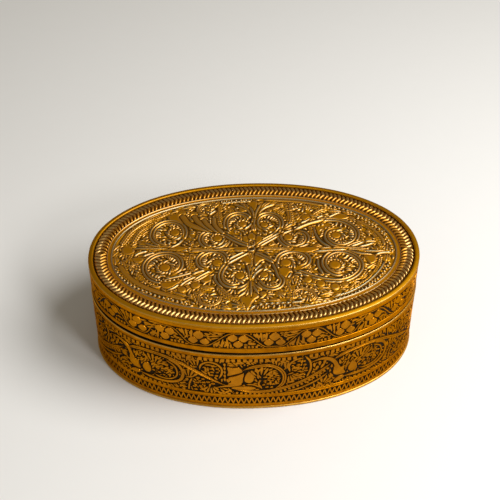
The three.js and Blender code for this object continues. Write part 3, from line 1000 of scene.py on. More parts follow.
# Each scroll: its stem and coil, where the coil starts, the eye and its radius
scrolls = (
    (((-17, 2.2), (-24, 2.2), (-31, 2.4), (-38, 4.0), (-43.4, 6.6), (-46.2, 10.2), (-46.4, 14.4),
     (-44.8, 18.2), (-41.2, 21.2), (-36.8, 21.6), (-33, 19.2), (-31.4, 15), (-31.8, 11), (-34, 8.4)), 3,
     (-36, 14), 2.3),
    (((-17.5, -11), (-23, -12.4), (-30, -15.4), (-36, -17.6), (-42, -18), (-46.6, -15.6), (-49, -11.2),
     (-49, -6.6), (-46.6, -2.6), (-42.2, -0.2), (-37.4, -0.4), (-34.2, -3), (-33, -7), (-34, -10.6),
     (-37, -12.6)), 4, (-40.2, -9), 2.5),
    (((10, -8), (14.5, -12.4), (20, -14.6), (25.5, -17.6), (31, -19.8), (37, -20.4), (42.2, -18.6),
     (46.2, -14.6), (47.4, -9.8), (45.4, -5.2), (41, -2), (36, -2), (32.2, -5), (30.8, -9.4), (32.2, -13.6),
     (35.8, -16.2), (40, -15.2)), 5, (35.6, -10.2), 2.7),
    (((2.2, 3), (7.5, 6.6), (12.5, 9.8), (17, 12.6), (22, 15.6), (27, 18), (32.5, 20), (38, 20.2),
     (43, 18.4), (46.6, 14.8), (48, 10.2), (46.6, 5.6), (42.6, 2.4), (37.8, 2.4), (34.4, 5.4), (33.6, 9.2),
     (35.4, 12.8), (39, 14)), 7, (38, 9.4), 2.3),
    (((-10.6, 8.6), (-11.6, 13), (-12.4, 17.6), (-12, 21.8), (-9.8, 25), (-6.4, 26.2), (-3, 25), (-1, 21.8),
     (-1.4, 18.2), (-4, 15.6)), 1, (-4.6, 18.6), 1.9),
    (((0.6, 3.2), (5, 7), (9, 10), (12, 13.4), (13.4, 17.6), (12.8, 21.8), (10.2, 24.8), (6.6, 25.4),
     (3.4, 23.6), (1.8, 20.2), (2.2, 16.4), (4.6, 13.8)), 3, (5.4, 17.8), 1.9),
    (((-11.6, 8), (-13.4, 4.6), (-17.4, 2.8), (-21.6, 3.8), (-24, 7.2), (-23.6, 11.2), (-20.8, 13.6),
     (-17.4, 13)), 1, (-16.4, 9.2), 2.2),
    (((11.8, 10.6), (12.4, 6.6), (15, 3.2), (19, 2), (22.8, 3.6), (24.6, 7), (23.8, 10.8), (20.8, 12.8)),
     1, (16, 8.6), 2.2),
    (((-12.6, -7.8), (-12.8, -3.8), (-15, -0.6), (-19, 0.6), (-23, -1), (-25.4, -4.6), (-24.6, -8.6),
     (-21.4, -10.8)), 1, (-16.8, -7), 2.4),
    (((9.4, -13), (9.4, -8.4), (10.8, -4.2), (14, -1.6), (18.2, -0.8), (22.2, -2.4), (24.2, -6), (23, -9.6),
     (19.8, -11.2)), 1, (13.8, -8.2), 2.5),
    (((8.6, -8.4), (9.6, -12), (10.4, -16), (11.6, -19.4), (10.2, -22.8), (6.8, -24.2), (3.2, -22.8),
     (1.2, -19.6), (1.6, -16.4)), 2, (3.8, -15.2), 1.9),
    (((-12.8, -8.4), (-14.8, -12), (-15.6, -16), (-14.4, -19.8), (-11.2, -22), (-7.6, -21.4)), 0,
     (-7, -15.6), 2.2),
)

smallScrolls = (
    (((-16.6, 31.5), (-18.5, 34), (-22.5, 34), (-25.2, 31), (-24.6, 27.4), (-21, 25.8)), 0, (-20.8, 29.8),
     1.2),
    (((18.5, 27), (18.2, 31), (21, 34.2), (25.2, 33.8), (27.4, 30.4), (26, 27.2)), 0, (22.8, 30.2), 1.2),
    (((-15.4, -27.4), (-17, -31.6), (-21, -33), (-24.6, -30.8), (-25, -27), (-22, -24.8)), 0,
     (-20.4, -28.8), 1.2),
    (((15.8, -30.6), (16.4, -26.6), (20, -24.6), (24, -26.2), (25.4, -29.8), (23, -32.4)), 0, (20.4, -29),
     1.2),
    (((-51, -8), (-53, -6.4), (-55.4, -8), (-55, -10.4)), 0, (-53, -9), 0.8),
)

ornament = {
    # Plain flat leaves and patches, by their outlines
    "flats": (
        ((-1.6, 7.6), (-2.7, 9.6), (-1.3, 12.6), (0.5, 11.4), (0.9, 9), (0.2, 7.6)),
        ((0.9, 4.6), (1.1, 8), (1.8, 10.6), (3.5, 10), (3.9, 7.6), (3, 5.6), (1.8, 4.2)),
        ((-2.4, 4.8), (-4.8, 7.2), (-4.8, 9.6), (-3.3, 10.8), (-2.6, 8.2), (-1.9, 6)),
        ((-10, 1.4), (-8.6, 3.3), (-6, 2.8), (-3.2, 2.8), (-2.6, 0.8), (-5, 0), (-8, 0.2)),
        ((1.4, 0.2), (2.4, 2.3), (5, 2.9), (9, 2.6), (13, 1.8), (16, 0.8), (12, -0.2), (6, 0.2)),
        ((-2.4, -1.9), (-4.8, -3.2), (-6.8, -5.2), (-5, -6.6), (-4, -9), (-2.7, -8.4), (-1.8, -13),
         (-1.1, -9), (-0.8, -5), (-1, -2.2)),
        ((0.2, -1.6), (-0.3, -5), (-0.1, -9.4), (1.2, -8.6), (2.4, -6.9), (4.8, -5.6), (4, -3.8),
         (1.8, -2.4)),
        ((16.4, 1.2), (20, 1.6), (26, 1.9), (29.4, 0.8), (28, -0.8), (24, -1.9), (20, -1.3), (17, -0.6)),
        ((10, -12), (11.3, -15.6), (13.6, -17.6), (16.1, -15.4), (15.8, -12.4), (12.8, -11)),
        ((32, 1.3), (38, 0.9), (46, 1.1), (48, -0.4), (42, -1), (35, 0.2)),
        ((48.6, -3), (52, -3.4), (54.6, -5.2), (54, -8.8), (51.4, -10), (50.2, -7)),
        ((-39.6, 25.5), (-36, 27.4), (-33, 26.9), (-30.8, 25), (-28.6, 21.4), (-26.6, 18.4), (-31, 19.2),
         (-35, 22.2), (-38.6, 23.4)),
        ((-59.8, 4.6), (-57, 5.6), (-54.8, 4.4), (-54.2, 1.6), (-56.8, 0), (-59.6, 1.4)),
        ((-53.4, 9.6), (-49, 7), (-44, 5.4), (-38, 5.4), (-33.4, 4.6), (-30, 3), (-34, 1.6), (-40, 2.4),
         (-46, 2.8), (-51, 4.6)),
        ((-55.2, -2.2), (-52.6, -1.7), (-50, -2.5), (-50.6, -5), (-53.6, -5.2)),
        ((-30.4, 1.8), (-27, 3.4), (-22, 2.6), (-18, 2.2), (-19, 0.8), (-24, 0.2), (-28.6, 0.2)),
        ((-0.2, 26), (-1.7, 31), (-1.4, 35.2), (2.6, 35), (2.5, 31), (1.1, 25.6)),
        ((-6, 30), (-5, 32), (-3, 31), (-2, 28), (-4.4, 28.4)),
        ((37.4, 21.6), (39.4, 24.4), (43.4, 24), (45.4, 21.6), (42, 20.4)),
        ((-4.4, -27.6), (-1.4, -26), (1, -28.4), (-1.7, -31), (-3.5, -35), (-4.8, -36.2), (-5.6, -33),
         (-7.4, -31), (-6.8, -28.6)),
        ((-20, -13.4), (-23.4, -14), (-24.8, -16.8), (-22.8, -19.2), (-19.8, -18.2)),
        ((-31, -15.2), (-36, -18), (-41.6, -18.6), (-41, -21.6), (-37.4, -22), (-34, -19.4)),
    ),
    # Round patches
    "lobes": (
        (-21.8, -16.6, 2.3), (-26.6, -20.6, 2.2), (-32.6, -23, 2.0), (-38.2, -20.8, 2.0), (22.8, -19.2, 1.9),
        (28.2, -21.8, 2.1), (34.4, -23.8, 2.1), (38.8, -22.6, 1.6), (25, 22.4, 2.2), (16.2, 15.6, 1.9),
        (-22.8, 23, 2.2), (-27.3, 26.8, 2.0), (-32.8, 27.8, 2.0), (-57.4, 4.2, 2.3), (52.6, 6.2, 1.7),
        (8.4, 28.2, 1.4), (-4.6, 28.6, 1.5), (2.8, -27, 1.6), (56.4, -2.6, 1.4),
    ),
    # Flat fingers that fan out and end in lobes
    "fingers": (
        (3.0, ((-17, 13.4), (-24, 16.4), (-29.6, 20), (-32.4, 25))),
        (2.6, ((-15.6, 13), (-21, 16.6), (-25, 20.8), (-27, 24.8))),
        (2.4, ((-14, 12.4), (-18, 15.6), (-21, 19), (-22.4, 22))),
        (2.2, ((-12.6, 11.6), (-16, 15.6), (-17.6, 19), (-17.8, 23))),
    ),
    # Bright plain ridges: width, height and one or more paths
    "ridges": (
        (1.25, 0.44, ((-4.2, -0.4), (-8, -2.7), (-12, -5.4)), ((-2, -1), (-7, -4.4), (-12.6, -8.2)),
         ((1, 3.4), (5, 6.3), (10, 10), (12.4, 12.4)), ((2.4, 2.8), (5, 4.5), (10, 8.3), (12.2, 10.2))),
        (1.1, 0.4, ((13.4, 11), (16, 12.2), (18.4, 13.8))),
        (2.1, 0.5, ((19.2, 13.7), (26, 17.5), (34, 20.5))), (1.0, 0.38, ((22, 18), (25, 19.5), (27.6, 22))),
        (1.1, 0.4, ((30, 21.2), (33.6, 23.4)), ((35.4, 21.6), (39, 23.8), (42, 25.4))),
        (1.3, 0.42, ((-19.6, -12), (-24, -15), (-27.8, -18)), ((-26, -15.4), (-30, -17.8), (-33.8, -21.2))),
        (1.2, 0.4, ((-33.6, -19.6), (-36, -22), (-39.2, -23.3))),
        (1.7, 0.42, ((-22.4, -11.6), (-25.6, -12.8), (-28.4, -14.2))),
        (1.1, 0.36, ((-28, -13), (-35.6, -15.5), (-41, -16.9))),
        (1.4, 0.42, ((26.8, -1.5), (34, -1.1), (42.4, -0.5))),
        (1.4, 0.44, ((43.6, 1.5), (47, 2.5), (50.8, 4.6)), ((47.4, 1), (51.6, 2), (55.4, 3.9))),
        (1.3, 0.42, ((54.4, -4.3), (58, -3.2), (62, -2.9)), ((-38.4, 3.4), (-34.6, 5.7), (-31.8, 9.6))),
        (1.1, 0.38, ((-36.6, 9.2), (-34, 9.8), (-32.8, 12.6))),
        (1.4, 0.42, ((-16.8, 4), (-14.4, 6), (-13, 9.6))),
        (1.2, 0.4, ((-18.6, 2.4), (-14.6, 3.1), (-11.6, 6.8))),
        (1.2, 0.38, ((-17.6, -14), (-18.2, -17), (-16.8, -20.4), (-14.6, -23))),
        (1.3, 0.42, ((-1.8, -18), (0.2, -14.6), (3.8, -11))),
        (1.1, 0.38, ((-0.4, -13.2), (1, -11), (3, -8.6))),
        (1.2, 0.4, ((-4, 15), (-1.8, 16.8), (-0.2, 19.4)), ((20, 1.8), (23, 2.5), (25.2, 4.4))),
        (1.2, 0.34, ((28.2, 16), (28.8, 10), (31.2, 4.6), (35.5, 0.8)),
         ((28.4, -6), (28.2, -11), (30, -16.4))),
        (1.3, 0.4, ((-54.2, -1.4), (-51.6, 0.8), (-48, 2)), ((-50.6, -1.6), (-47, 0), (-44.6, 0.8))),
        (1.2, 0.4, ((-20, 26), (-18, 27.6), (-16.6, 29))),
        (1.3, 0.42, ((14, -17.8), (15, -16.6), (15.8, -14.6))),
    ),
    # Double stems that end in leaves
    "stems": (
        (2.6, ((-1.8, 3.4), (-6, 5.8), (-10, 8.8), (-13.4, 12))),
        (2.4, ((0.6, -1.4), (4.6, -4.2), (8.8, -7.6))), (1.9, ((0.6, 14), (0.2, 18), (0.8, 22.5))),
        (1.9, ((-3, -9), (-2.4, -13), (-2, -18.6))), (1.6, ((-0.4, -10), (-1.2, -14), (-1.8, -18.6))),
        (1.5, ((-28.6, 1.2), (-20, 1.4), (-9, 1.6))), (1.5, ((4, 1.4), (11, 1), (18, 0.6))),
        (1.7, ((30, 0.2), (36, 0.4), (44, 0.2), (52, -1))),
    ),
    # Rows of short dashes: the line they stand on, pitch, dash length and width
    "dashes": (
        (((37.6, 30.6), (43.4, 27.6), (48.8, 23.4), (54.4, 17.8), (59, 12), (61.4, 6), (62.4, 1)),
         2.1, 1.7, 1.05),
        (((-62.4, -9), (-58.6, -15.6), (-53.8, -20), (-48.4, -23.6), (-43.2, -26.5), (-37, -29),
         (-30.6, -31.6)), 2.1, 1.7, 1.05),
        (((-14, 35.2), (-8, 35.9), (0, 36.1)), 2.2, 1.8, 1.0),
        (((0, -34.6), (6, -34.4), (14, -34.2)), 2.2, 2.0, 1.0),
        (((-42.6, -16.6), (-36, -16), (-30, -14), (-24.4, -12)), 1.8, 1.6, 0.9),
        (((34, -31.4), (42, -28.3), (50, -22.8), (56.4, -15.8), (60, -9.6)), 1.9, 1.3, 0.9),
        (((20, -16.4), (19.2, -20), (17.8, -23.5)), 1.7, 1.5, 0.9),
    ),
    # Rails that run beside a row of dashes
    "rails": (
        (1.1, 0.44, ((-3.4, -36.2), (-0.8, -34.2), (3, -33.4), (8, -33.1), (14, -33), (20, -32.4))),
        (1.1, 0.4, ((33, -30.2), (41, -27.2), (48.6, -21.8), (54.8, -14.8), (58.4, -8.6))),
        (1.2, 0.46, ((-14.6, 33.9), (-7, 34.6), (0.4, 34.9))),
        (2.3, 0.12, ((-60.6, -6), (-57.2, -12.6), (-52, -18.4), (-45.6, -22.6), (-38.4, -26), (-31, -29))),
        (1.6, 0.12, ((59.6, 2), (58.4, 8), (54.4, 14.4), (48.6, 19.6))),
        (1.8, 0.12, ((6, 36), (14, 35.2), (24, 33.6), (34, 30.6))),
    ),
    # Small raised rings in the middle: centre, two radii, width
    "rings": (((-1.3, 1.4), (1.5, 1.5), 0.7), ((-0.9, 5.3), (1.3, 2.1), 0.7),
              ((-1.6, -3.4), (0.9, 1.9), 0.5)),
}


def isOpen(x, y):
    rows, columns = tileAround((x, y), (x, y), 0.3)
    tile = relief["height"][rows, columns]
    return tile.size > 0 and tile.max() < relief["ground"] + 0.05


def pressDashes(points, pitch, length, width):
    path = smoothPath(points, pitch)
    across = headings(path) + math.pi / 2 - 0.35
    for (x, y), angle in zip(path, across):
        dx, dy = length / 2 * math.cos(angle), length / 2 * math.sin(angle)
        press(np.array([(x - dx, y - dy), (x, y), (x + dx, y + dy)]), width, **strokes["dash"])


def fillGround(dice):
    # Fans of small leaves over the whole field, before the scrolls are pressed over them
    spots = []
    for _ in range(foliage["fanTries"]):
        x, y = dice.uniform(-63, 63), dice.uniform(-36.5, 36.5)
        if fieldLevel(x, y, foliage["fanField"]) > 1:
            continue
        if all((x - a) ** 2 + (y - b) ** 2 > foliage["fanSpacing"] ** 2 for a, b in spots):
            spots.append((x, y))
    for x, y in sorted(spots, key=lambda spot: -fieldLevel(*spot, foliage["edge"])):
        angle = leafDrift(x, y) + dice.normal(0, foliage["fanTurn"])
        base = (x - foliage["fanBack"] * math.cos(angle), y - foliage["fanBack"] * math.sin(angle))
        length, height = dice.uniform(*foliage["fanLengths"]), dice.uniform(*foliage["fanHeights"])
        pressFan(base, angle, length, height, dice.choice(foliage["fanCurls"]))


def strokeGround(dice):
    # Single small strokes in the ground that is still open
    reach = foliage["strokeReach"]
    for _ in range(foliage["strokeTries"]):
        x, y = dice.uniform(-63.5, 63.5), dice.uniform(-36.5, 36.5)
        angle = leafDrift(x, y) + dice.normal(0, foliage["strokeTurn"])
        tip = (x + reach * math.cos(angle), y + reach * math.sin(angle))
        inField = fieldLevel(x, y, foliage["strokeField"]) < 1
        if inField and isOpen(x, y) and isOpen(*tip) and isOpen((x + tip[0]) / 2, (y + tip[1]) / 2):
            length = dice.uniform(*foliage["strokeLengths"])
            bend = dice.choice(foliage["strokeBends"])
            pressLeaf((x, y), angle, length, foliage["strokeWidth"], foliage["strokeHeight"], bend, 0.0)


def drawRelief():
    # What is pressed later lies over what was pressed before
    dice = np.random.default_rng(foliage["seed"])
    fillGround(dice)
    for points in foliage["sprays"]:
        pressSpray(points)
    for scroll in smallScrolls:
        pressScroll(*scroll, foliage["smallScrollWidth"])
    for scroll in scrolls:
        pressScroll(*scroll, foliage["scrollWidth"])
    for x, y, radius in ornament["lobes"]:
        pressBoss((x, y), radius)
    for outline in ornament["flats"]:
        pressFlat(outline)
    for base, width, leaves in foliage["plumes"]:
        pressPlume(base, leaves, width)
    for width, points in ornament["fingers"]:
        press(smoothPath(points), width, **strokes["finger"])
    for width, points in ornament["stems"]:
        pressBand(points, width)
    for width, height, points in ornament["rails"]:
        press(smoothPath(points), width, height, **strokes["rail"])
    for row in ornament["dashes"]:
        pressDashes(*row)
    for width, height, *paths in ornament["ridges"]:
        for points in paths:
            press(smoothPath(points), width, height, **strokes["ridge"])
    strokeGround(dice)
    turns = np.linspace(0, tau, 25)[:, None]
    for centre, radii, width in ornament["rings"]:
        ring = np.array(centre) + np.array(radii) * np.hstack([np.cos(turns), np.sin(turns)])
        press(ring, width, **strokes["ring"])


def sampled(field, xy):
    # The raster's values at points, blended between its cells
    columns = np.clip((xy[:, 0] - relief["x"][0]) / relief["cell"], 0, field.shape[1] - 1.001)
    rows = np.clip((xy[:, 1] - relief["y"][0]) / relief["cell"], 0, field.shape[0] - 1.001)
    c, r = columns.astype(int), rows.astype(int)
    u, v = columns - c, rows - r
    return ((1 - v) * ((1 - u) * field[r, c] + u * field[r, c + 1])
            + v * ((1 - u) * field[r + 1, c] + u * field[r + 1, c + 1]))


def ovalGrid(columns, rows, start, end):
    # A square grid bent to fill the oval, from one share of its length to another; also how far
    # out each point is, from 0 to 1, and the number of columns
    count = int(round(columns * (end - start)))
    v, u = np.meshgrid(np.linspace(-1, 1, rows + 1), np.linspace(2 * start - 1, 2 * end - 1, count + 1),
                       indexing="ij")
    x, y = u * np.sqrt(1 - v * v / 2), v * np.sqrt(1 - u * u / 2)
    level = np.hypot(x, y).ravel()
    angles = np.arctan2(y, x).ravel()
    return ovalXY(angles / tau, relief["inset"]) * level[:, None], level, count


def gridFaces(columns, rows, first, turned):
    # Faces of a grid whose points are numbered from first, and the loop of points round its edge
    index = first + np.arange((rows + 1) * (columns + 1)).reshape(rows + 1, columns + 1)
    faces = np.stack([index[:-1, :-1], index[:-1, 1:], index[1:, 1:], index[1:, :-1]], axis=-1).reshape(-1, 4)
    loop = np.concatenate([index[0, :-1], index[:-1, -1], index[-1, :0:-1], index[:0:-1, 0]])
    return (faces[:, ::-1] if turned else faces).tolist(), loop.tolist()


def makeReliefHalf(name, field, cavity, crest, start, end):
    # The worked sheet is meshed in two halves, which meet on the middle line. Its lower face has a
    # coarser grid, sewn to the upper one round the edge
    coarse, lower = relief["underShare"], relief["under"]
    lowerRows = relief["rows"] // coarse
    top, level, count = ovalGrid(relief["columns"], relief["rows"], start, end)
    fade = np.clip((1 - level) / relief["edgeFade"], 0, 1)
    crown = relief["crown"] * (1 - level ** 2)
    worked = relief["gain"] * sampled(field, top) * fade
    topHeight = plate["level"] + crown + worked - relief["edgeDrop"] * (1 - fade)
    under, underLevel, underCount = ovalGrid(relief["columns"] // coarse, lowerRows, start, end)
    underRise = np.clip(sampled(softened(field, lower["blur"]), under), *lower["range"]) * lower["share"]
    underRise = underRise * np.clip((1 - underLevel) / lower["fade"], 0, 1)
    underHeight = plate["under"] + relief["crown"] * (1 - underLevel ** 2) + underRise
    points = np.vstack([np.column_stack([top, topHeight]), np.column_stack([under, underHeight])])
    topFaces, topLoop = gridFaces(count, relief["rows"], 0, False)
    underFaces, underLoop = gridFaces(underCount, lowerRows, len(top), True)
    sides = []
    for k, low in enumerate(underLoop):
        high = [topLoop[(k * coarse + j) % len(topLoop)] for j in range(coarse + 1)]
        sides.append((low, underLoop[(k + 1) % len(underLoop)], high[-1]))
        sides += [(low, high[j + 1], high[j]) for j in range(coarse)]
    # The edge of the worked sheet, and evenly its lower face, are darkened with dirt and painted shade
    topCavity = np.maximum(sampled(cavity, top), relief["edgeDirtShade"] * (1 - fade))
    attributes = {
        "cavity": np.concatenate([topCavity, np.full(len(under), lower["dirtAndShade"])]),
        "crest": np.concatenate([sampled(crest, top), np.zeros(len(under))]),
    }
    obj = meshPiece(name, points, topFaces + underFaces + sides, attributes, relief["sharpDegrees"])
    finishPiece(obj, "lid", "embossed_brass", "lid_top_plate")


def makeLidRelief():
    drawRelief()
    field = softened(relief["height"], relief["blurs"][0])
    near, wide = (softened(field, radius) for radius in relief["blurs"][1:])
    # Cavity: dirt with painted shade where the sheet lies low; crest: polish with a painted highlight on
    # ridges
    base, nearDirtShade, wideDirtShade = relief["dirtAndShade"]
    cavity = np.clip(base + (near - field) * nearDirtShade + (wide - field) * wideDirtShade, 0, 1)
    crest = np.clip((field - near) * relief["polishAndHighlight"], 0, 1)
    makeReliefHalf("lidReliefLeft", field, cavity, crest, 0, 0.5)
    makeReliefHalf("lidReliefRight", field, cavity, crest, 0.5, 1)


makeLidRelief()
print("lid relief made")


# Side friezes: flat chased figures on a sunk ground. They are laid out on a flat strip, where x is
# the arc along the wall and y the height above the table, and a tree then bends the strip round.

# Shared by all figures. Their heights are shares of the frieze's rise, from the ground up
chased = {
    "cell": 0.2, "low": -0.3, "edge": 0.9, "slope": 0.22, "stemStep": 0.8, "plateStep": 0.55,
    "markStep": 0.15, "margin": 0.05, "sharpDegrees": 50,
}
sowing = {"edge": 0.2, "lean": 118, "leanSpread": 16, "leastWidth": 0.95}


def unitShape(name, stations, halfWidths, edgeRise, middleRise, topShare):
    # A small plate from x 0 to 1 with a sloped edge and a crease or crown along its middle
    points = []
    for x, half in zip(stations, halfWidths):
        points += [(x, -half, chased["low"]), (x, -half * topShare, edgeRise), (x, 0, middleRise),
                   (x, half * topShare, edgeRise), (x, half, chased["low"])]
    faces = tubeFaces(len(stations), 5, True)
    return meshPiece(name, np.array(points) / mm, faces, None, chased["sharpDegrees"])


def makeMotifs():
    # The order of the names is the order in which the tree picks them
    holder = bpy.data.collections.new("chasedMotifs")
    shapes = (
        unitShape("motif0Leaf", (0, 0.22, 0.52, 0.82, 1), (0.09, 0.28, 0.46, 0.49, 0.17), 0.95, 0.9, 0.84),
        unitShape("motif1Berry", (0, 0.15, 0.5, 0.85, 1), (0.18, 0.40, 0.5, 0.40, 0.18), 0.72, 1.05, 0.7),
        unitShape("motif2Dash", (0, 0.08, 0.5, 0.92, 1), (0.34, 0.5, 0.5, 0.5, 0.34), 0.95, 1.0, 0.82),
    )
    for shape in shapes:
        bpy.context.scene.collection.objects.unlink(shape)
        holder.objects.link(shape)
    return holder


leafKind, berryKind, dashKind = 0, 1, 2


def newStrip(low, high):
    # Figures of one frieze, with a raster of the places that are already taken
    taken = np.zeros((int((high - low) / chased["cell"]), int(perimeter / chased["cell"])), bool)
    return {"low": low, "high": high, "taken": taken, "spots": [], "plates": [], "stems": []}


def stripTile(strip, xs, ys):
    # Raster rows and columns of points, and which of them lie on the strip; arcs wrap round
    rows = ((np.asarray(ys) - strip["low"]) / chased["cell"]).astype(int)
    columns = ((np.asarray(xs) % perimeter) / chased["cell"]).astype(int) % strip["taken"].shape[1]
    inside = (rows >= 0) & (rows < strip["taken"].shape[0])
    return rows, columns, inside


def take(strip, xs, ys):
    rows, columns, inside = stripTile(strip, xs, ys)
    strip["taken"][rows[inside], columns[inside]] = True


leafProbe = np.array([(u, v) for u in np.linspace(-1, 1, 9) for v in np.linspace(-1, 1, 5)
                      if u * u + v * v < 1.05])


def probeOf(x, y, angle, length, width, grow):
    # Points spread over a figure's outline, grown by a margin
    middle = (x + length / 2 * math.cos(angle), y + length / 2 * math.sin(angle))
    along, across = leafProbe[:, 0] * (length / 2 + grow), leafProbe[:, 1] * (width / 2 + grow)
    xs = middle[0] + along * math.cos(angle) - across * math.sin(angle)
    ys = middle[1] + along * math.sin(angle) + across * math.cos(angle)
    return xs, ys


def isFree(strip, x, y, degrees, length, width, gap):
    rows, columns, inside = stripTile(strip, *probeOf(x, y, math.radians(degrees), length, width, gap))
    return inside.all() and not strip["taken"][rows, columns].any()


def lay(strip, kind, x, y, degrees, length, width, margin=chased["margin"]):
    # Puts one figure on the strip, from its base at x, y
    angle = math.radians(degrees)
    strip["spots"].append((x, y, kind, angle, length, width))
    take(strip, *probeOf(x, y, angle, length, width, margin))


def layFan(strip, places, leaves, width=1.05, hub=1.6):
    # Leaves that radiate from each place; the hub is the bare ground round it
    for x, y in places:
        for degrees, length in leaves:
            angle = math.radians(degrees)
            base = (x + hub * math.cos(angle), y + hub * math.sin(angle))
            lay(strip, leafKind, *base, degrees, length - hub, width)


def layLeaves(strip, places, directions, length, width):
    for (x, y), degrees in zip(places, directions):
        lay(strip, leafKind, x, y, degrees, length, width)


def layBeads(strip, path, pitch, drop, length, width):
    # Short dashes across a path, dropped a little to its right
    beads = smoothPath(path, pitch)
    for (x, y), angle in zip(beads, headings(beads)):
        base = (x + drop * math.sin(angle), y - drop * math.cos(angle))
        lay(strip, dashKind, *base, math.degrees(angle) + 90, length, width)


def layBerries(strip, places, size=1.5):
    for k, (x, y) in enumerate(places):
        berry = size + 0.18 * math.sin(2.4 * k)
        lay(strip, berryKind, x - berry / 2, y, 0, berry, berry)


def layRow(strip, start, end, pitch, base, length, width):
    # A row of upright dashes, a little uneven, left out where something else already stands
    for k in range(int((end - start) / pitch)):
        x, degrees = start + k * pitch, 90 + 6 * math.sin(k * 1.3)
        y = base + 0.12 * math.sin(k * 0.7)
        if isFree(strip, x, y, degrees, length, width, -0.1):
            lay(strip, dashKind, x, y, degrees, length, width)


def layStem(strip, path, width, taper=(0.0, 0.15), groove=0.55):
    # A ribbon along a path, with a fine groove down its middle
    line = smoothPath(path, chased["stemStep"])
    heading = headings(line)
    low = chased["low"]
    section = ((-1, low), (-0.86, 0.92), (-0.2, 1.0), (0, 1 - groove), (0.2, 1.0), (0.86, 0.92), (1, low))
    points = []
    for (x, y), angle, half in zip(line, heading, taperAlong(len(line), taper, 0.15) * width / 2):
        points += [(x - across * half * math.sin(angle), y + across * half * math.cos(angle), rise)
                   for across, rise in section]
    strip["plates"].append((points, tubeFaces(len(line), len(section), True)))
    strip["stems"] += [(x, y, angle) for (x, y), angle in zip(line, heading)]
    reach = width / 2 + chased["margin"]
    offsets = np.arange(-reach, reach + 0.1, chased["markStep"])
    disc = np.array([(u, v) for u in offsets for v in offsets if math.hypot(u, v) <= reach])
    for x, y in smoothPath(path, chased["markStep"]):
        take(strip, x + disc[:, 0], y + disc[:, 1])


def layPlate(strip, outline):
    # A flat figure with a sloped edge, from a few points of its outline taken counter-clockwise
    outline = [tuple(point) for point in outline]
    closed = smoothPath(outline + outline[:2], chased["plateStep"])
    first = np.argmin(np.hypot(*(closed - np.array(outline[1])).T)[:len(closed) // 2])
    ring = closed[first:-1]
    middle = ring.mean(axis=0)
    inward = (middle - ring) / np.maximum(np.hypot(*(middle - ring).T), 0.5)[:, None]
    inner = ring + inward * chased["slope"]
    count = len(ring)
    points = [(x, y, chased["low"]) for x, y in ring] + [(x, y, chased["edge"]) for x, y in inner]
    points.append((*middle, 1.0))
    faces = [(k, (k + 1) % count, count + (k + 1) % count, count + k) for k in range(count)]
    faces += [(count + k, count + (k + 1) % count, 2 * count) for k in range(count)]
    faces.append(tuple(range(count - 1, -1, -1)))
    strip["plates"].append((points, faces))
    for share in (1.14, 1.0, 0.85, 0.7, 0.55, 0.4, 0.2, 0.0):
        take(strip, *(middle + (ring - middle) * share).T)


def fillStrip(strip, seed, sizes):
    # Sows figures in the ground that is still free, the larger ones first. Leaves lean back from
    # the nearest stem on both of its sides, so that they gather into sprays
    dice = np.random.default_rng(seed)
    stems = np.array(strip["stems"])
    for kind, tries, longest, shortest, slender, gap in sizes:
        for _ in range(tries):
            x = dice.uniform(0, perimeter)
            y = dice.uniform(strip["low"] + sowing["edge"], strip["high"] - sowing["edge"])
            stemX, stemY, angle = stems[np.argmin((stems[:, 0] - x) ** 2 + (stems[:, 1] - y) ** 2)]
            side = math.copysign(1, math.cos(angle) * (y - stemY) - math.sin(angle) * (x - stemX))
            degrees = math.degrees(angle) + side * dice.normal(sowing["lean"], sowing["leanSpread"])
            length = dice.uniform(shortest, longest)
            width = max(sowing["leastWidth"], length * slender)
            if isFree(strip, x, y, degrees, length, width, gap):
                lay(strip, kind, x, y, degrees, length, width, 0.0)


# Heights where the dirt and painted shade clear, and the share of polish with a painted highlight on figure
# tops
wrap = {"clear": (0.55, 0.9), "polishAndHighlight": 0.18, "rippleScale": 160.0, "uneven": 0.12}


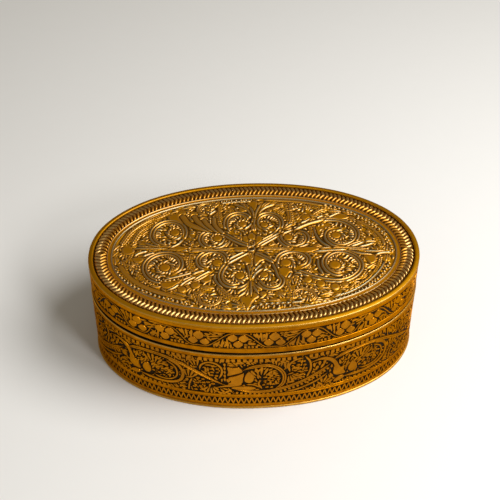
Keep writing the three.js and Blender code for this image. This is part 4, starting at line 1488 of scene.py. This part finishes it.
def buildWrapTree():
    # Sets figures on their spots, bends the flat strip round the oval line, and stores the masks for
    # the dirt with painted shade, low on the figures and on the ground, and the polish with a painted
    # highlight on their tops
    tree, entry, leave = newGroup(
        "wrapRoundWall", "GeometryNodeTree",
        [("Geometry", "Geometry"), ("Spots", "Object"), ("Motifs", "Collection"),
         ("Line", "Object"), ("Ground Inset", "Float", 0.0005), ("Rise", "Float", 0.0004),
         ("Uneven", "Float", wrap["uneven"]), ("Material", "Material")],
        [("Geometry", "Geometry")])
    motifs = put(tree, "GeometryNodeCollectionInfo", {
        "Collection": out(entry, "Motifs"), "Separate Children": True, "Reset Children": True},
        transform_space="ORIGINAL")
    copies = put(tree, "GeometryNodeInstanceOnPoints", {
        "Points": modelOf(tree, entry, "Spots"), "Instance": out(motifs), "Pick Instance": True,
        "Instance Index": stored(tree, "kind", "INT"), "Rotation": turnAboutZ(tree, stored(tree, "turn")),
        "Scale": stored(tree, "size", "FLOAT_VECTOR")})
    real = put(tree, "GeometryNodeRealizeInstances", {"Geometry": out(copies)})
    joined = put(tree, "GeometryNodeJoinGeometry")
    tree.links.new(out(real), joined.inputs[0])
    tree.links.new(out(entry, "Geometry"), joined.inputs[0])
    position = out(put(tree, "GeometryNodeInputPosition"))
    place = put(tree, "ShaderNodeSeparateXYZ", {"Vector": position})
    shade = mapped(tree, out(place, "Z"), *wrap["clear"], 1.0, 0.0)
    polishAndHighlight = times(tree, inverse(tree, shade), wrap["polishAndHighlight"])
    marked = store(tree, store(tree, out(joined), "cavity", shade), "crest", polishAndHighlight)
    curve = put(tree, "GeometryNodeMeshToCurve", {"Mesh": modelOf(tree, entry, "Line")})
    whole = out(put(tree, "GeometryNodeCurveLength", {"Curve": out(curve)}), "Length")
    arc = math2(tree, "FLOORED_MODULO", out(place, "X"), whole)
    sample = put(tree, "GeometryNodeSampleCurve", {"Curves": out(curve), "Length": arc}, mode="LENGTH")
    up = put(tree, "ShaderNodeCombineXYZ", {"Z": 1.0})
    outward = put(tree, "ShaderNodeVectorMath", {
        0: out(sample, "Tangent"), 1: out(up)}, operation="CROSS_PRODUCT")
    ripple = math2(tree, "SUBTRACT", noise(tree, position, wrap["rippleScale"], 1.0), 0.5)
    uneven = times(tree, ripple, out(entry, "Uneven"))
    lifted = times(tree, out(place, "Z"), math2(tree, "ADD", 1.0, uneven))
    height = times(tree, lifted, out(entry, "Rise"))
    depth = math2(tree, "SUBTRACT", height, out(entry, "Ground Inset"))
    push = put(tree, "ShaderNodeVectorMath", {0: out(outward), "Scale": depth}, operation="SCALE")
    base = put(tree, "ShaderNodeVectorMath", {0: out(sample, "Position"), 1: out(push)}, operation="ADD")
    level = put(tree, "ShaderNodeCombineXYZ", {"Z": out(place, "Y")})
    final = put(tree, "ShaderNodeVectorMath", {0: out(base), 1: out(level)}, operation="ADD")
    bent = put(tree, "GeometryNodeSetPosition", {"Geometry": marked, "Position": out(final)})
    coated = put(tree, "GeometryNodeSetMaterial", {"Geometry": out(bent), "Material": out(entry, "Material")})
    tree.links.new(out(coated), leave.inputs["Geometry"])
    return tree


def wrapStrip(name, strip, settings):
    # Sends a strip through the tree: its plates are the tree's geometry, its spots a cloud of points.
    # The lift moves the whole strip up the wall
    lift = settings["lift"]
    plates, faces = [], []
    for points, pieceFaces in strip["plates"]:
        faces += [tuple(index + len(plates) for index in face) for face in pieceFaces]
        plates += [(x, y + lift, z / mm) for x, y, z in points]
    obj = meshPiece(name, plates, faces)
    x, y, kind, turn, length, width = np.array(strip["spots"]).T
    cloud = bpy.data.meshes.new(name + "Spots")
    cloud.from_pydata(np.column_stack([x * mm, (y + lift) * mm, np.zeros(len(x))]).tolist(), [], [])
    sizes = np.column_stack([length * mm, width * mm, np.ones(len(x))])
    for key, form, field, values in (
            ("kind", "INT", "value", kind.astype(np.int32)),
            ("turn", "FLOAT", "value", turn.astype(np.float32)),
            ("size", "FLOAT_VECTOR", "vector", sizes.astype(np.float32).ravel())):
        cloud.attributes.new(key, form, "POINT").data.foreach_set(field, values)
    spots = addObject(name + "Spots", cloud)
    addTree(obj, wrapTree, {
        "Spots": spots, "Motifs": motifCollection, "Line": outsideLine, "Rise": settings["rise"] * mm,
        "Ground Inset": settings["inset"] * mm, "Material": brass["chased_brass"]})
    settle(obj)
    obj.data.set_sharp_from_angle(angle=math.radians(chased["sharpDegrees"]))
    bpy.data.objects.remove(spots)
    print(name, len(strip["spots"]), "spots and", len(strip["plates"]), "plates")
    return obj


def spacedRound(read, count):
    # Places read on the front, then even spacing for the rest of the way round
    gap = (perimeter - (read[-1] - read[0])) / (count - len(read) + 1)
    return list(read) + [read[-1] + gap * (k + 1) for k in range(count - len(read))]


def roundedOutline(x, y, wide, tall, degrees=45.0, power=3.6):
    # Points round a square with rounded corners, turned and then stretched to a width and a height
    angles = np.linspace(0, tau, 12, endpoint=False)
    reach = (np.abs(np.cos(angles)) ** power + np.abs(np.sin(angles)) ** power) ** (-1 / power)
    turned = angles + math.radians(degrees)
    u, v = reach * np.cos(turned), reach * np.sin(turned)
    return list(zip(x + wide / 2 * u / np.abs(u).max(), y + tall / 2 * v / np.abs(v).max()))


# Petals by middle, width and height; leaves by base, direction, length and width. Places along the
# wall count from the flower's own middle. A row of dashes has its start, end, pitch, base, length
# and width. The fill is figures to sow in the free ground: kind, tries, longest, shortest, width as
# a share of the length, and the gap to keep
flowers = {
    "read": (241.5, 254.8, 270.0, 286.9, 302.6, 318.6, 334.1, 348.2), "count": 26,
    "low": 40.35, "high": 50.3, "seed": 21, "inset": 0.72, "rise": 0.40, "lift": -0.6,
    "stemWidth": 0.5, "stemReach": 4.6,
    "up": {
        "stem": (41.9, 41.35),
        "petals": ((0, 47.4, 4.7, 5.1), (-2.5, 43.9, 4.3, 4.1), (2.6, 43.6, 4.3, 3.9)),
        "leaves": ((11.4, 49.9, 182, 5.4, 1.05), (10.4, 48.4, 192, 5.6, 1.05), (8.8, 46.9, 200, 3.8, 1.05),
                   (8.2, 44.0, -128, 2.9, 1.35), (9.2, 45.2, -112, 4.4, 1.35), (10.6, 46.2, -99, 5.2, 1.35),
                   (12.2, 46.9, -86, 5.6, 1.35)),
    },
    "down": {
        "stem": (48.9, 49.75),
        "petals": ((-2.3, 46.9, 4.5, 4.3), (2.45, 46.6, 4.5, 4.5), (0.05, 43.0, 4.3, 4.2)),
        "leaves": ((8.0, 47.2, 116, 2.8, 1.3), (9.1, 45.8, 106, 4.4, 1.3), (10.4, 44.8, 97, 5.5, 1.3),
                   (11.9, 44.4, 86, 5.8, 1.3), (7.6, 43.6, 172, 3.4, 1.05), (6.2, 45.6, 152, 2.4, 1.05)),
        "dashes": (3.2, 10.8, 1.6, 40.7, 1.35, 1.2),
    },
    "fill": ((leafKind, 12000, 3.4, 2.2, 0.42, 0.22), (leafKind, 14000, 2.1, 1.5, 0.55, 0.16),
             (berryKind, 9000, 1.2, 0.9, 0.9, 0.1)),
}


def makeFlowerBand():
    # Flowers point up and down in turn, and the stem runs in a wave below the one and above the other
    strip = newStrip(flowers["low"], flowers["high"])
    middles = spacedRound(flowers["read"], flowers["count"])
    wave = []
    for k, x in enumerate(middles + [middles[0] + perimeter]):
        low, high = flowers["down" if k % 2 else "up"]["stem"]
        wave += [(x - flowers["stemReach"], low), (x, high), (x + flowers["stemReach"], low)]
    layStem(strip, wave[1:-1], flowers["stemWidth"], (0, 0), 0.1)
    for k, x in enumerate(middles):
        flower = flowers["down" if k % 2 else "up"]
        for away, *petal in flower["petals"]:
            layPlate(strip, roundedOutline(x + away, *petal))
        for away, *leaf in flower["leaves"]:
            lay(strip, leafKind, x + away, *leaf)
        if "dashes" in flower:
            start, end, *sizes = flower["dashes"]
            layRow(strip, x + start, x + end, *sizes)
    fillStrip(strip, flowers["seed"], flowers["fill"])
    return wrapStrip("flowerBand", strip, flowers)


# The vine's circles have their middles where they were read on the front
vine = {
    "read": (251, 299, 346), "count": 8, "low": 9.95, "high": 33.85, "seed": 33, "wave": 48.0, "dashes": 162,
    "lowRow": (2.3, 9.75, 1.4, 1.7), "topRow": (31.6, 2.1, 1.85),
    "inset": 0.50, "rise": 0.46, "lift": -0.45,
    "fill": ((leafKind, 22000, 3.8, 2.5, 0.40, 0.22), (leafKind, 26000, 2.3, 1.6, 0.52, 0.16),
             (berryKind, 16000, 1.2, 0.9, 0.9, 0.1)),
}

# The vine's two units, figure by figure: how it is laid, its points and its sizes. Places along the
# wall count from the middle of the unit's circle.
# First a vine circle with a long-necked bird, then the plain diagonal down to the next circle
birdUnit = (
    (layStem, ((-16, 27.0), (-11, 29.1), (-4, 30.0), (1, 29.9), (6, 28.8), (11, 27), (16, 24.2), (21, 21.2),
     (26, 18.3), (30.5, 15.8)), 1.9, (0.08, 0.2)),
    (layStem, ((5, 28.3), (9, 26), (10.9, 22.5), (11, 19), (9.5, 15.8), (6, 13.6), (1, 12.7), (-5, 12.9),
     (-11, 13.6)), 1.5, (0, 0.15), 0.1),
    (layStem, ((3.6, 27.4), (7.2, 24.6), (8.5, 21), (7.7, 17.5), (4.6, 15.1), (0, 14.7), (-3, 15.8)), 0.8,
     (0.05, 0.1), 0.0),
    (layStem, ((-26.5, 28), (-22, 29.3), (-18, 28.2), (-15.4, 25.4), (-13.9, 21.6)), 2.1, (0.5, 0), 0.0),
    (layPlate, ((-15.6, 17.2), (-13.8, 15.7), (-9.8, 15.6), (-10.5, 18.2), (-10.3, 21.3), (-12.1, 20.4),
     (-13.2, 22.6), (-15.2, 22.6), (-15.7, 20))),
    (layPlate, ((-8.7, 17.6), (-7.6, 15.6), (-5.6, 15.2), (-4.2, 17), (-4.4, 19.5), (-6, 21.9),
     (-7.9, 20.6))),
    (layPlate, ((-15.2, 11.5), (-12.6, 11.4), (-10.2, 12.9), (-10.6, 14.3), (-13, 14.3), (-15, 13))),
    (layFan, ((-3, 20.8),), ((125, 7.4), (107, 8.0), (89, 8.1), (71, 8.0), (53, 7.6)), 1.35, 3.2),
    (layBerries, ((1.2, 22.2), (3.6, 23.6), (5.9, 22.4), (-0.9, 19.9), (-0.2, 17.6), (3, 20.2), (4.7, 17.6),
     (2.0, 16.6), (6.4, 19.8), (-3, 17.9), (1.2, 19.2), (-10, 24.4), (-7.8, 25.6), (-12, 25.6))),
    (layFan, ((17.6, 24.8),), ((118, 8.6), (102, 8.8), (84, 8.4)), 1.25, 2.8),
    (layStem, ((18.8, 25.2), (19.6, 28.5), (22.5, 30.6), (26, 30.1), (28.5, 27.4), (28.7, 24),
     (27.4, 20.4)), 1.0, (0.1, 0.1), 0.0),
    (layBerries, ((22, 28.7), (24.8, 28.5), (20.9, 26.9), (26.8, 26.6), (23.9, 26.3), (21.6, 24.6),
     (24.4, 24.2), (26.7, 24.3), (24.2, 22.2), (26.3, 22.0))),
    (layLeaves, ((30.1, 28.6), (30.1, 26.2), (30.1, 23.7), (30.1, 21.2), (30.1, 18.8)), (96,) * 5, 2.1, 1.2),
    (layStem, ((13.5, 11), (14, 15), (15.2, 18.6)), 0.9, (0, 0.1), 0.0),
    (layFan, ((13.6, 17.4),), ((108, 7.0), (89, 7.6), (70, 7.0), (50, 6.6)), 1.25, 2.4),
    (layBerries, ((17.6, 16.1), (17.9, 19.3), (20.2, 18.9), (20.4, 16.6), (19, 14), (16.2, 13.4),
     (22.4, 17.2), (16.8, 11.3), (19.4, 11.6), (24.6, 16.4)), 1.7),
    (layFan, ((23.6, 15.6),), ((-132, 4.6), (-109, 5.4), (-86, 5.6), (-63, 5.2), (-40, 4.6)), 1.2, 1.8),
)

# A vine circle with a resting deer, then the beaded double diagonal up to the next circle
deerUnit = (
    (layStem, ((-10.2, 26.4), (-7, 28), (-2, 29.2), (2, 28.9), (5.5, 27), (8, 23.4), (8.5, 19.5), (7.5, 16),
     (4.5, 13.4)), 1.9, (0.15, 0.1)),
    (layStem, ((-14, 13.6), (-7, 12), (-1, 11.7), (5, 12.6), (11, 14.3), (17, 16.6), (23, 19.8), (27, 22.5),
     (29.6, 24.8)), 1.7, (0.1, 0.1)),
    (layStem, ((9, 10.6), (14, 11.4), (19, 13.2), (24, 15.6), (28.5, 18.8)), 1.1, (0.1, 0.1), 0.1),
    (layBeads, ((-13, 11.0), (-6, 10.3), (0, 10.0), (5, 10.7), (10, 12.3), (15, 13.9), (20, 16.4),
     (25, 19.4), (28.6, 21.9)), 1.95, 0.7, 1.4, 1.25),
    (layPlate, ((-17.2, 22.5), (-13.5, 23.6), (-10.4, 25.2), (-10.8, 27), (-12.2, 28.2), (-15, 27.9),
     (-17.3, 28.3), (-17, 25))),
    (layPlate, ((-17.0, 20.7), (-15.6, 18.6), (-17.2, 16.6), (-12, 16.6), (-10.4, 18), (-10.1, 21),
     (-9.9, 24.3), (-13.2, 22.7), (-16.4, 21.6))),
    (layPlate, ((-9.5, 18.8), (-7.6, 17.6), (-5.7, 18.8), (-5.1, 21.6), (-6.2, 24.3), (-8, 25.1),
     (-9.5, 22))),
    (layStem, ((-11, 17.2), (-14, 16.2), (-18.5, 15.4), (-24, 13.6)), 1.5, (0, 0.6), 0.0),
    (layPlate, ((-15.8, 14.2), (-11, 13.3), (-6, 13.2), (-4.2, 14.3), (-8, 15.5), (-13, 15.4))),
    (layStem, ((-8.6, 16.8), (-6, 16.7), (-4, 15.8), (-2.8, 14.8)), 0.8, (0.1, 0.1), 0.0),
    (layFan, ((-10.4, 28.0),), ((66, 2.6), (112, 2.4)), 1.0),
    (layFan, ((-2.2, 19.8),), ((125, 7.6), (106, 8.4), (87, 8.6), (68, 8.2), (49, 7.6)), 1.4, 3.4),
    (layStem, ((-2.4, 19.6), (-3.2, 17), (-1.6, 13.8)), 1.0, (0, 0.1), 0.0),
    (layBerries, ((-0.3, 18.8), (1.6, 20.7), (3.1, 18.8), (1.2, 16.8), (4.2, 21.2), (-0.9, 16.2),
     (3.4, 16.4), (5.7, 19.2), (5.3, 16.8), (0.6, 14.6), (2.7, 14.3), (-4.8, 17.2))),
    (layStem, ((18.8, 19), (20.4, 24), (20, 29), (17.6, 33)), 1.0, (0.05, 0.1), 0.0),
    (layStem, ((10.9, 24), (10.4, 28), (13, 31.2), (17, 32)), 1.0, (0.1, 0.1), 0.0),
    (layBerries, ((12.6, 29.2), (15.0, 30.2), (17.3, 29.6), (14.6, 27.6), (17.6, 27.2), (12.6, 26.6),
     (15.6, 25.2), (18.3, 24.8), (13.4, 24.2), (16.4, 22.8), (14.2, 21.8))),
    (layFan, ((10.4, 23.4),), ((-34, 5.0), (-53, 6.2), (-72, 7.0), (-91, 7.0)), 1.25, 2.2),
    (layFan, ((9.2, 24.6),), ((80, 5.4), (98, 5.6)), 1.3),
    (layLeaves, ((22.2, 24.6), (24.6, 25.2), (26.6, 25.2), (22.8, 22.4), (25.2, 23.2)),
     (95, 92, 80, 70, 64), 2.9, 1.6),
    (layFan, ((26.4, 11.6),), ((20, 5.2), (44, 5.2), (70, 4.6), (98, 4.4)), 1.35, 1.4),
)


def makeVineFrieze():
    strip = newStrip(vine["low"], vine["high"])
    middles = spacedRound(vine["read"], vine["count"])
    for k, (middle, onward) in enumerate(zip(middles, middles[1:] + [middles[0] + perimeter])):
        stretch = (onward - middle) / vine["wave"]
        for draw, points, *sizes in deerUnit if k % 2 else birdUnit:
            draw(strip, [(middle + x * stretch, y) for x, y in points], *sizes)
        if k % 2 == 0:
            layRow(strip, middle - 28, middle + 36, *vine["lowRow"])
    layRow(strip, 0, perimeter, perimeter / vine["dashes"], *vine["topRow"])
    fillStrip(strip, vine["seed"], vine["fill"])
    return wrapStrip("vineFrieze", strip, vine)


# Slanted bars in pairs, which read as a zigzag line, over a thin line
teeth = {
    "count": 165, "low": 3.25, "high": 7.1, "bandLow": 3.05, "bandHigh": 7.25, "width": 0.72,
    "line": 3.0, "lineWidth": 0.3, "inset": 0.50, "rise": 0.44, "lift": 0.0,
}


def makeToothBand():
    strip = newStrip(teeth["bandLow"], teeth["bandHigh"])
    low, pitch = teeth["low"], perimeter / teeth["count"]
    rise = teeth["high"] - low
    slope, length = math.degrees(math.atan2(rise, pitch / 2)), math.hypot(rise, pitch / 2)
    for k in range(teeth["count"]):
        jog = 0.1 * math.sin(k * 2.3)
        lay(strip, dashKind, k * pitch + jog, low, slope, length, teeth["width"])
        lay(strip, dashKind, (k + 1) * pitch + jog, low, 180 - slope, length, teeth["width"])
    line = [(x, teeth["line"]) for x in np.linspace(0, perimeter, 120)]
    layStem(strip, line, teeth["lineWidth"], (0, 0), 0.0)
    return wrapStrip("toothBand", strip, teeth)


outsideLine = lineObject("outsideLine", np.column_stack([ovalXY(evenTurns), np.zeros(oval["steps"])]))
motifCollection = makeMotifs()
wrapTree = buildWrapTree()
finishPiece(makeFlowerBand(), "lid", "chased_brass")
finishPiece(makeVineFrieze(), "box", "chased_brass")
finishPiece(makeToothBand(), "box", "chased_brass")
for spent in [outsideLine] + list(motifCollection.objects):
    bpy.data.objects.remove(spent)
bpy.data.collections.remove(motifCollection)
print("side friezes made")


# Floor, lights and camera

studio = {
    "floorColour": (0.80, 0.79, 0.77), "floorGrain": 0.985, "floorHalf": 6000.0, "floorLevel": -0.05,
    "world": (0.225, 0.205, 0.165), "aim": (0, 0, 0.03),
    "lights": {
        "keyLight": {"spot": (0.40, -0.10, 0.60), "size": 0.46, "power": 5.2},
        "fillLight": {"spot": (-0.55, -0.45, 0.55), "size": 0.7, "power": 0.3},
        "glintLight": {"spot": (0.36, -0.50, 0.50), "size": 0.16, "power": 1.8},
    },
}


def makeFloor():
    half, level, colour = studio["floorHalf"], studio["floorLevel"], studio["floorColour"]
    corners = [(-half, -half, level), (half, -half, level), (half, half, level), (-half, half, level)]
    obj = meshPiece("studioFloor", corners, [(0, 1, 2, 3)])
    material = bpy.data.materials.new("palePaper")
    material.use_nodes = True
    tree = material.node_tree
    shader = tree.nodes["Principled BSDF"]
    grain = noise(tree, out(put(tree, "ShaderNodeTexCoord"), "Object"), 90.0, 6.0)
    darker = tuple(value * studio["floorGrain"] for value in colour)
    tree.links.new(mixColour(tree, grain, colour, darker), shader.inputs["Base Color"])
    shader.inputs["Roughness"].default_value = 0.85
    shader.inputs["Specular IOR Level"].default_value = 0.2
    obj.data.materials.append(material)


def addAimed(name, data, spot, direction):
    # Puts a light or a camera at a spot, looking along a direction
    obj = addObject(name, data)
    obj.location = spot
    obj.rotation_euler = Vector(direction).to_track_quat("-Z", "Y").to_euler()
    return obj


def makeLight(name, settings):
    light = bpy.data.lights.new(name, "AREA")
    light.shape = "DISK"
    light.size = settings["size"]
    light.energy = settings["power"]
    addAimed(name, light, settings["spot"], np.array(studio["aim"]) - np.array(settings["spot"]))


makeFloor()
for lightName, lightSettings in studio["lights"].items():
    makeLight(lightName, lightSettings)
world = bpy.data.worlds.new("studioWorld")
world.use_nodes = True
world.node_tree.nodes["Background"].inputs["Color"].default_value = (*studio["world"], 1.0)
world.node_tree.nodes["Background"].inputs["Strength"].default_value = 1.0
bpy.context.scene.world = world
bpy.context.scene.view_settings.view_transform = "Standard"

view = {
    "place": (-0.0160, -0.3486, 0.3784), "direction": (0.0296, 0.7308, -0.6820), "lens": 76.05,
    "sensor": 36.0,
    "clip": (0.01, 50),
}


def makeCamera():
    # The camera solved from the outlines of the lid, the seam and the foot
    camera = bpy.data.cameras.new("photoView")
    camera.lens = view["lens"]
    camera.sensor_width = view["sensor"]
    camera.clip_start, camera.clip_end = view["clip"]
    bpy.context.scene.camera = addAimed("photoView", camera, view["place"], view["direction"])


makeCamera()

print("scene done")
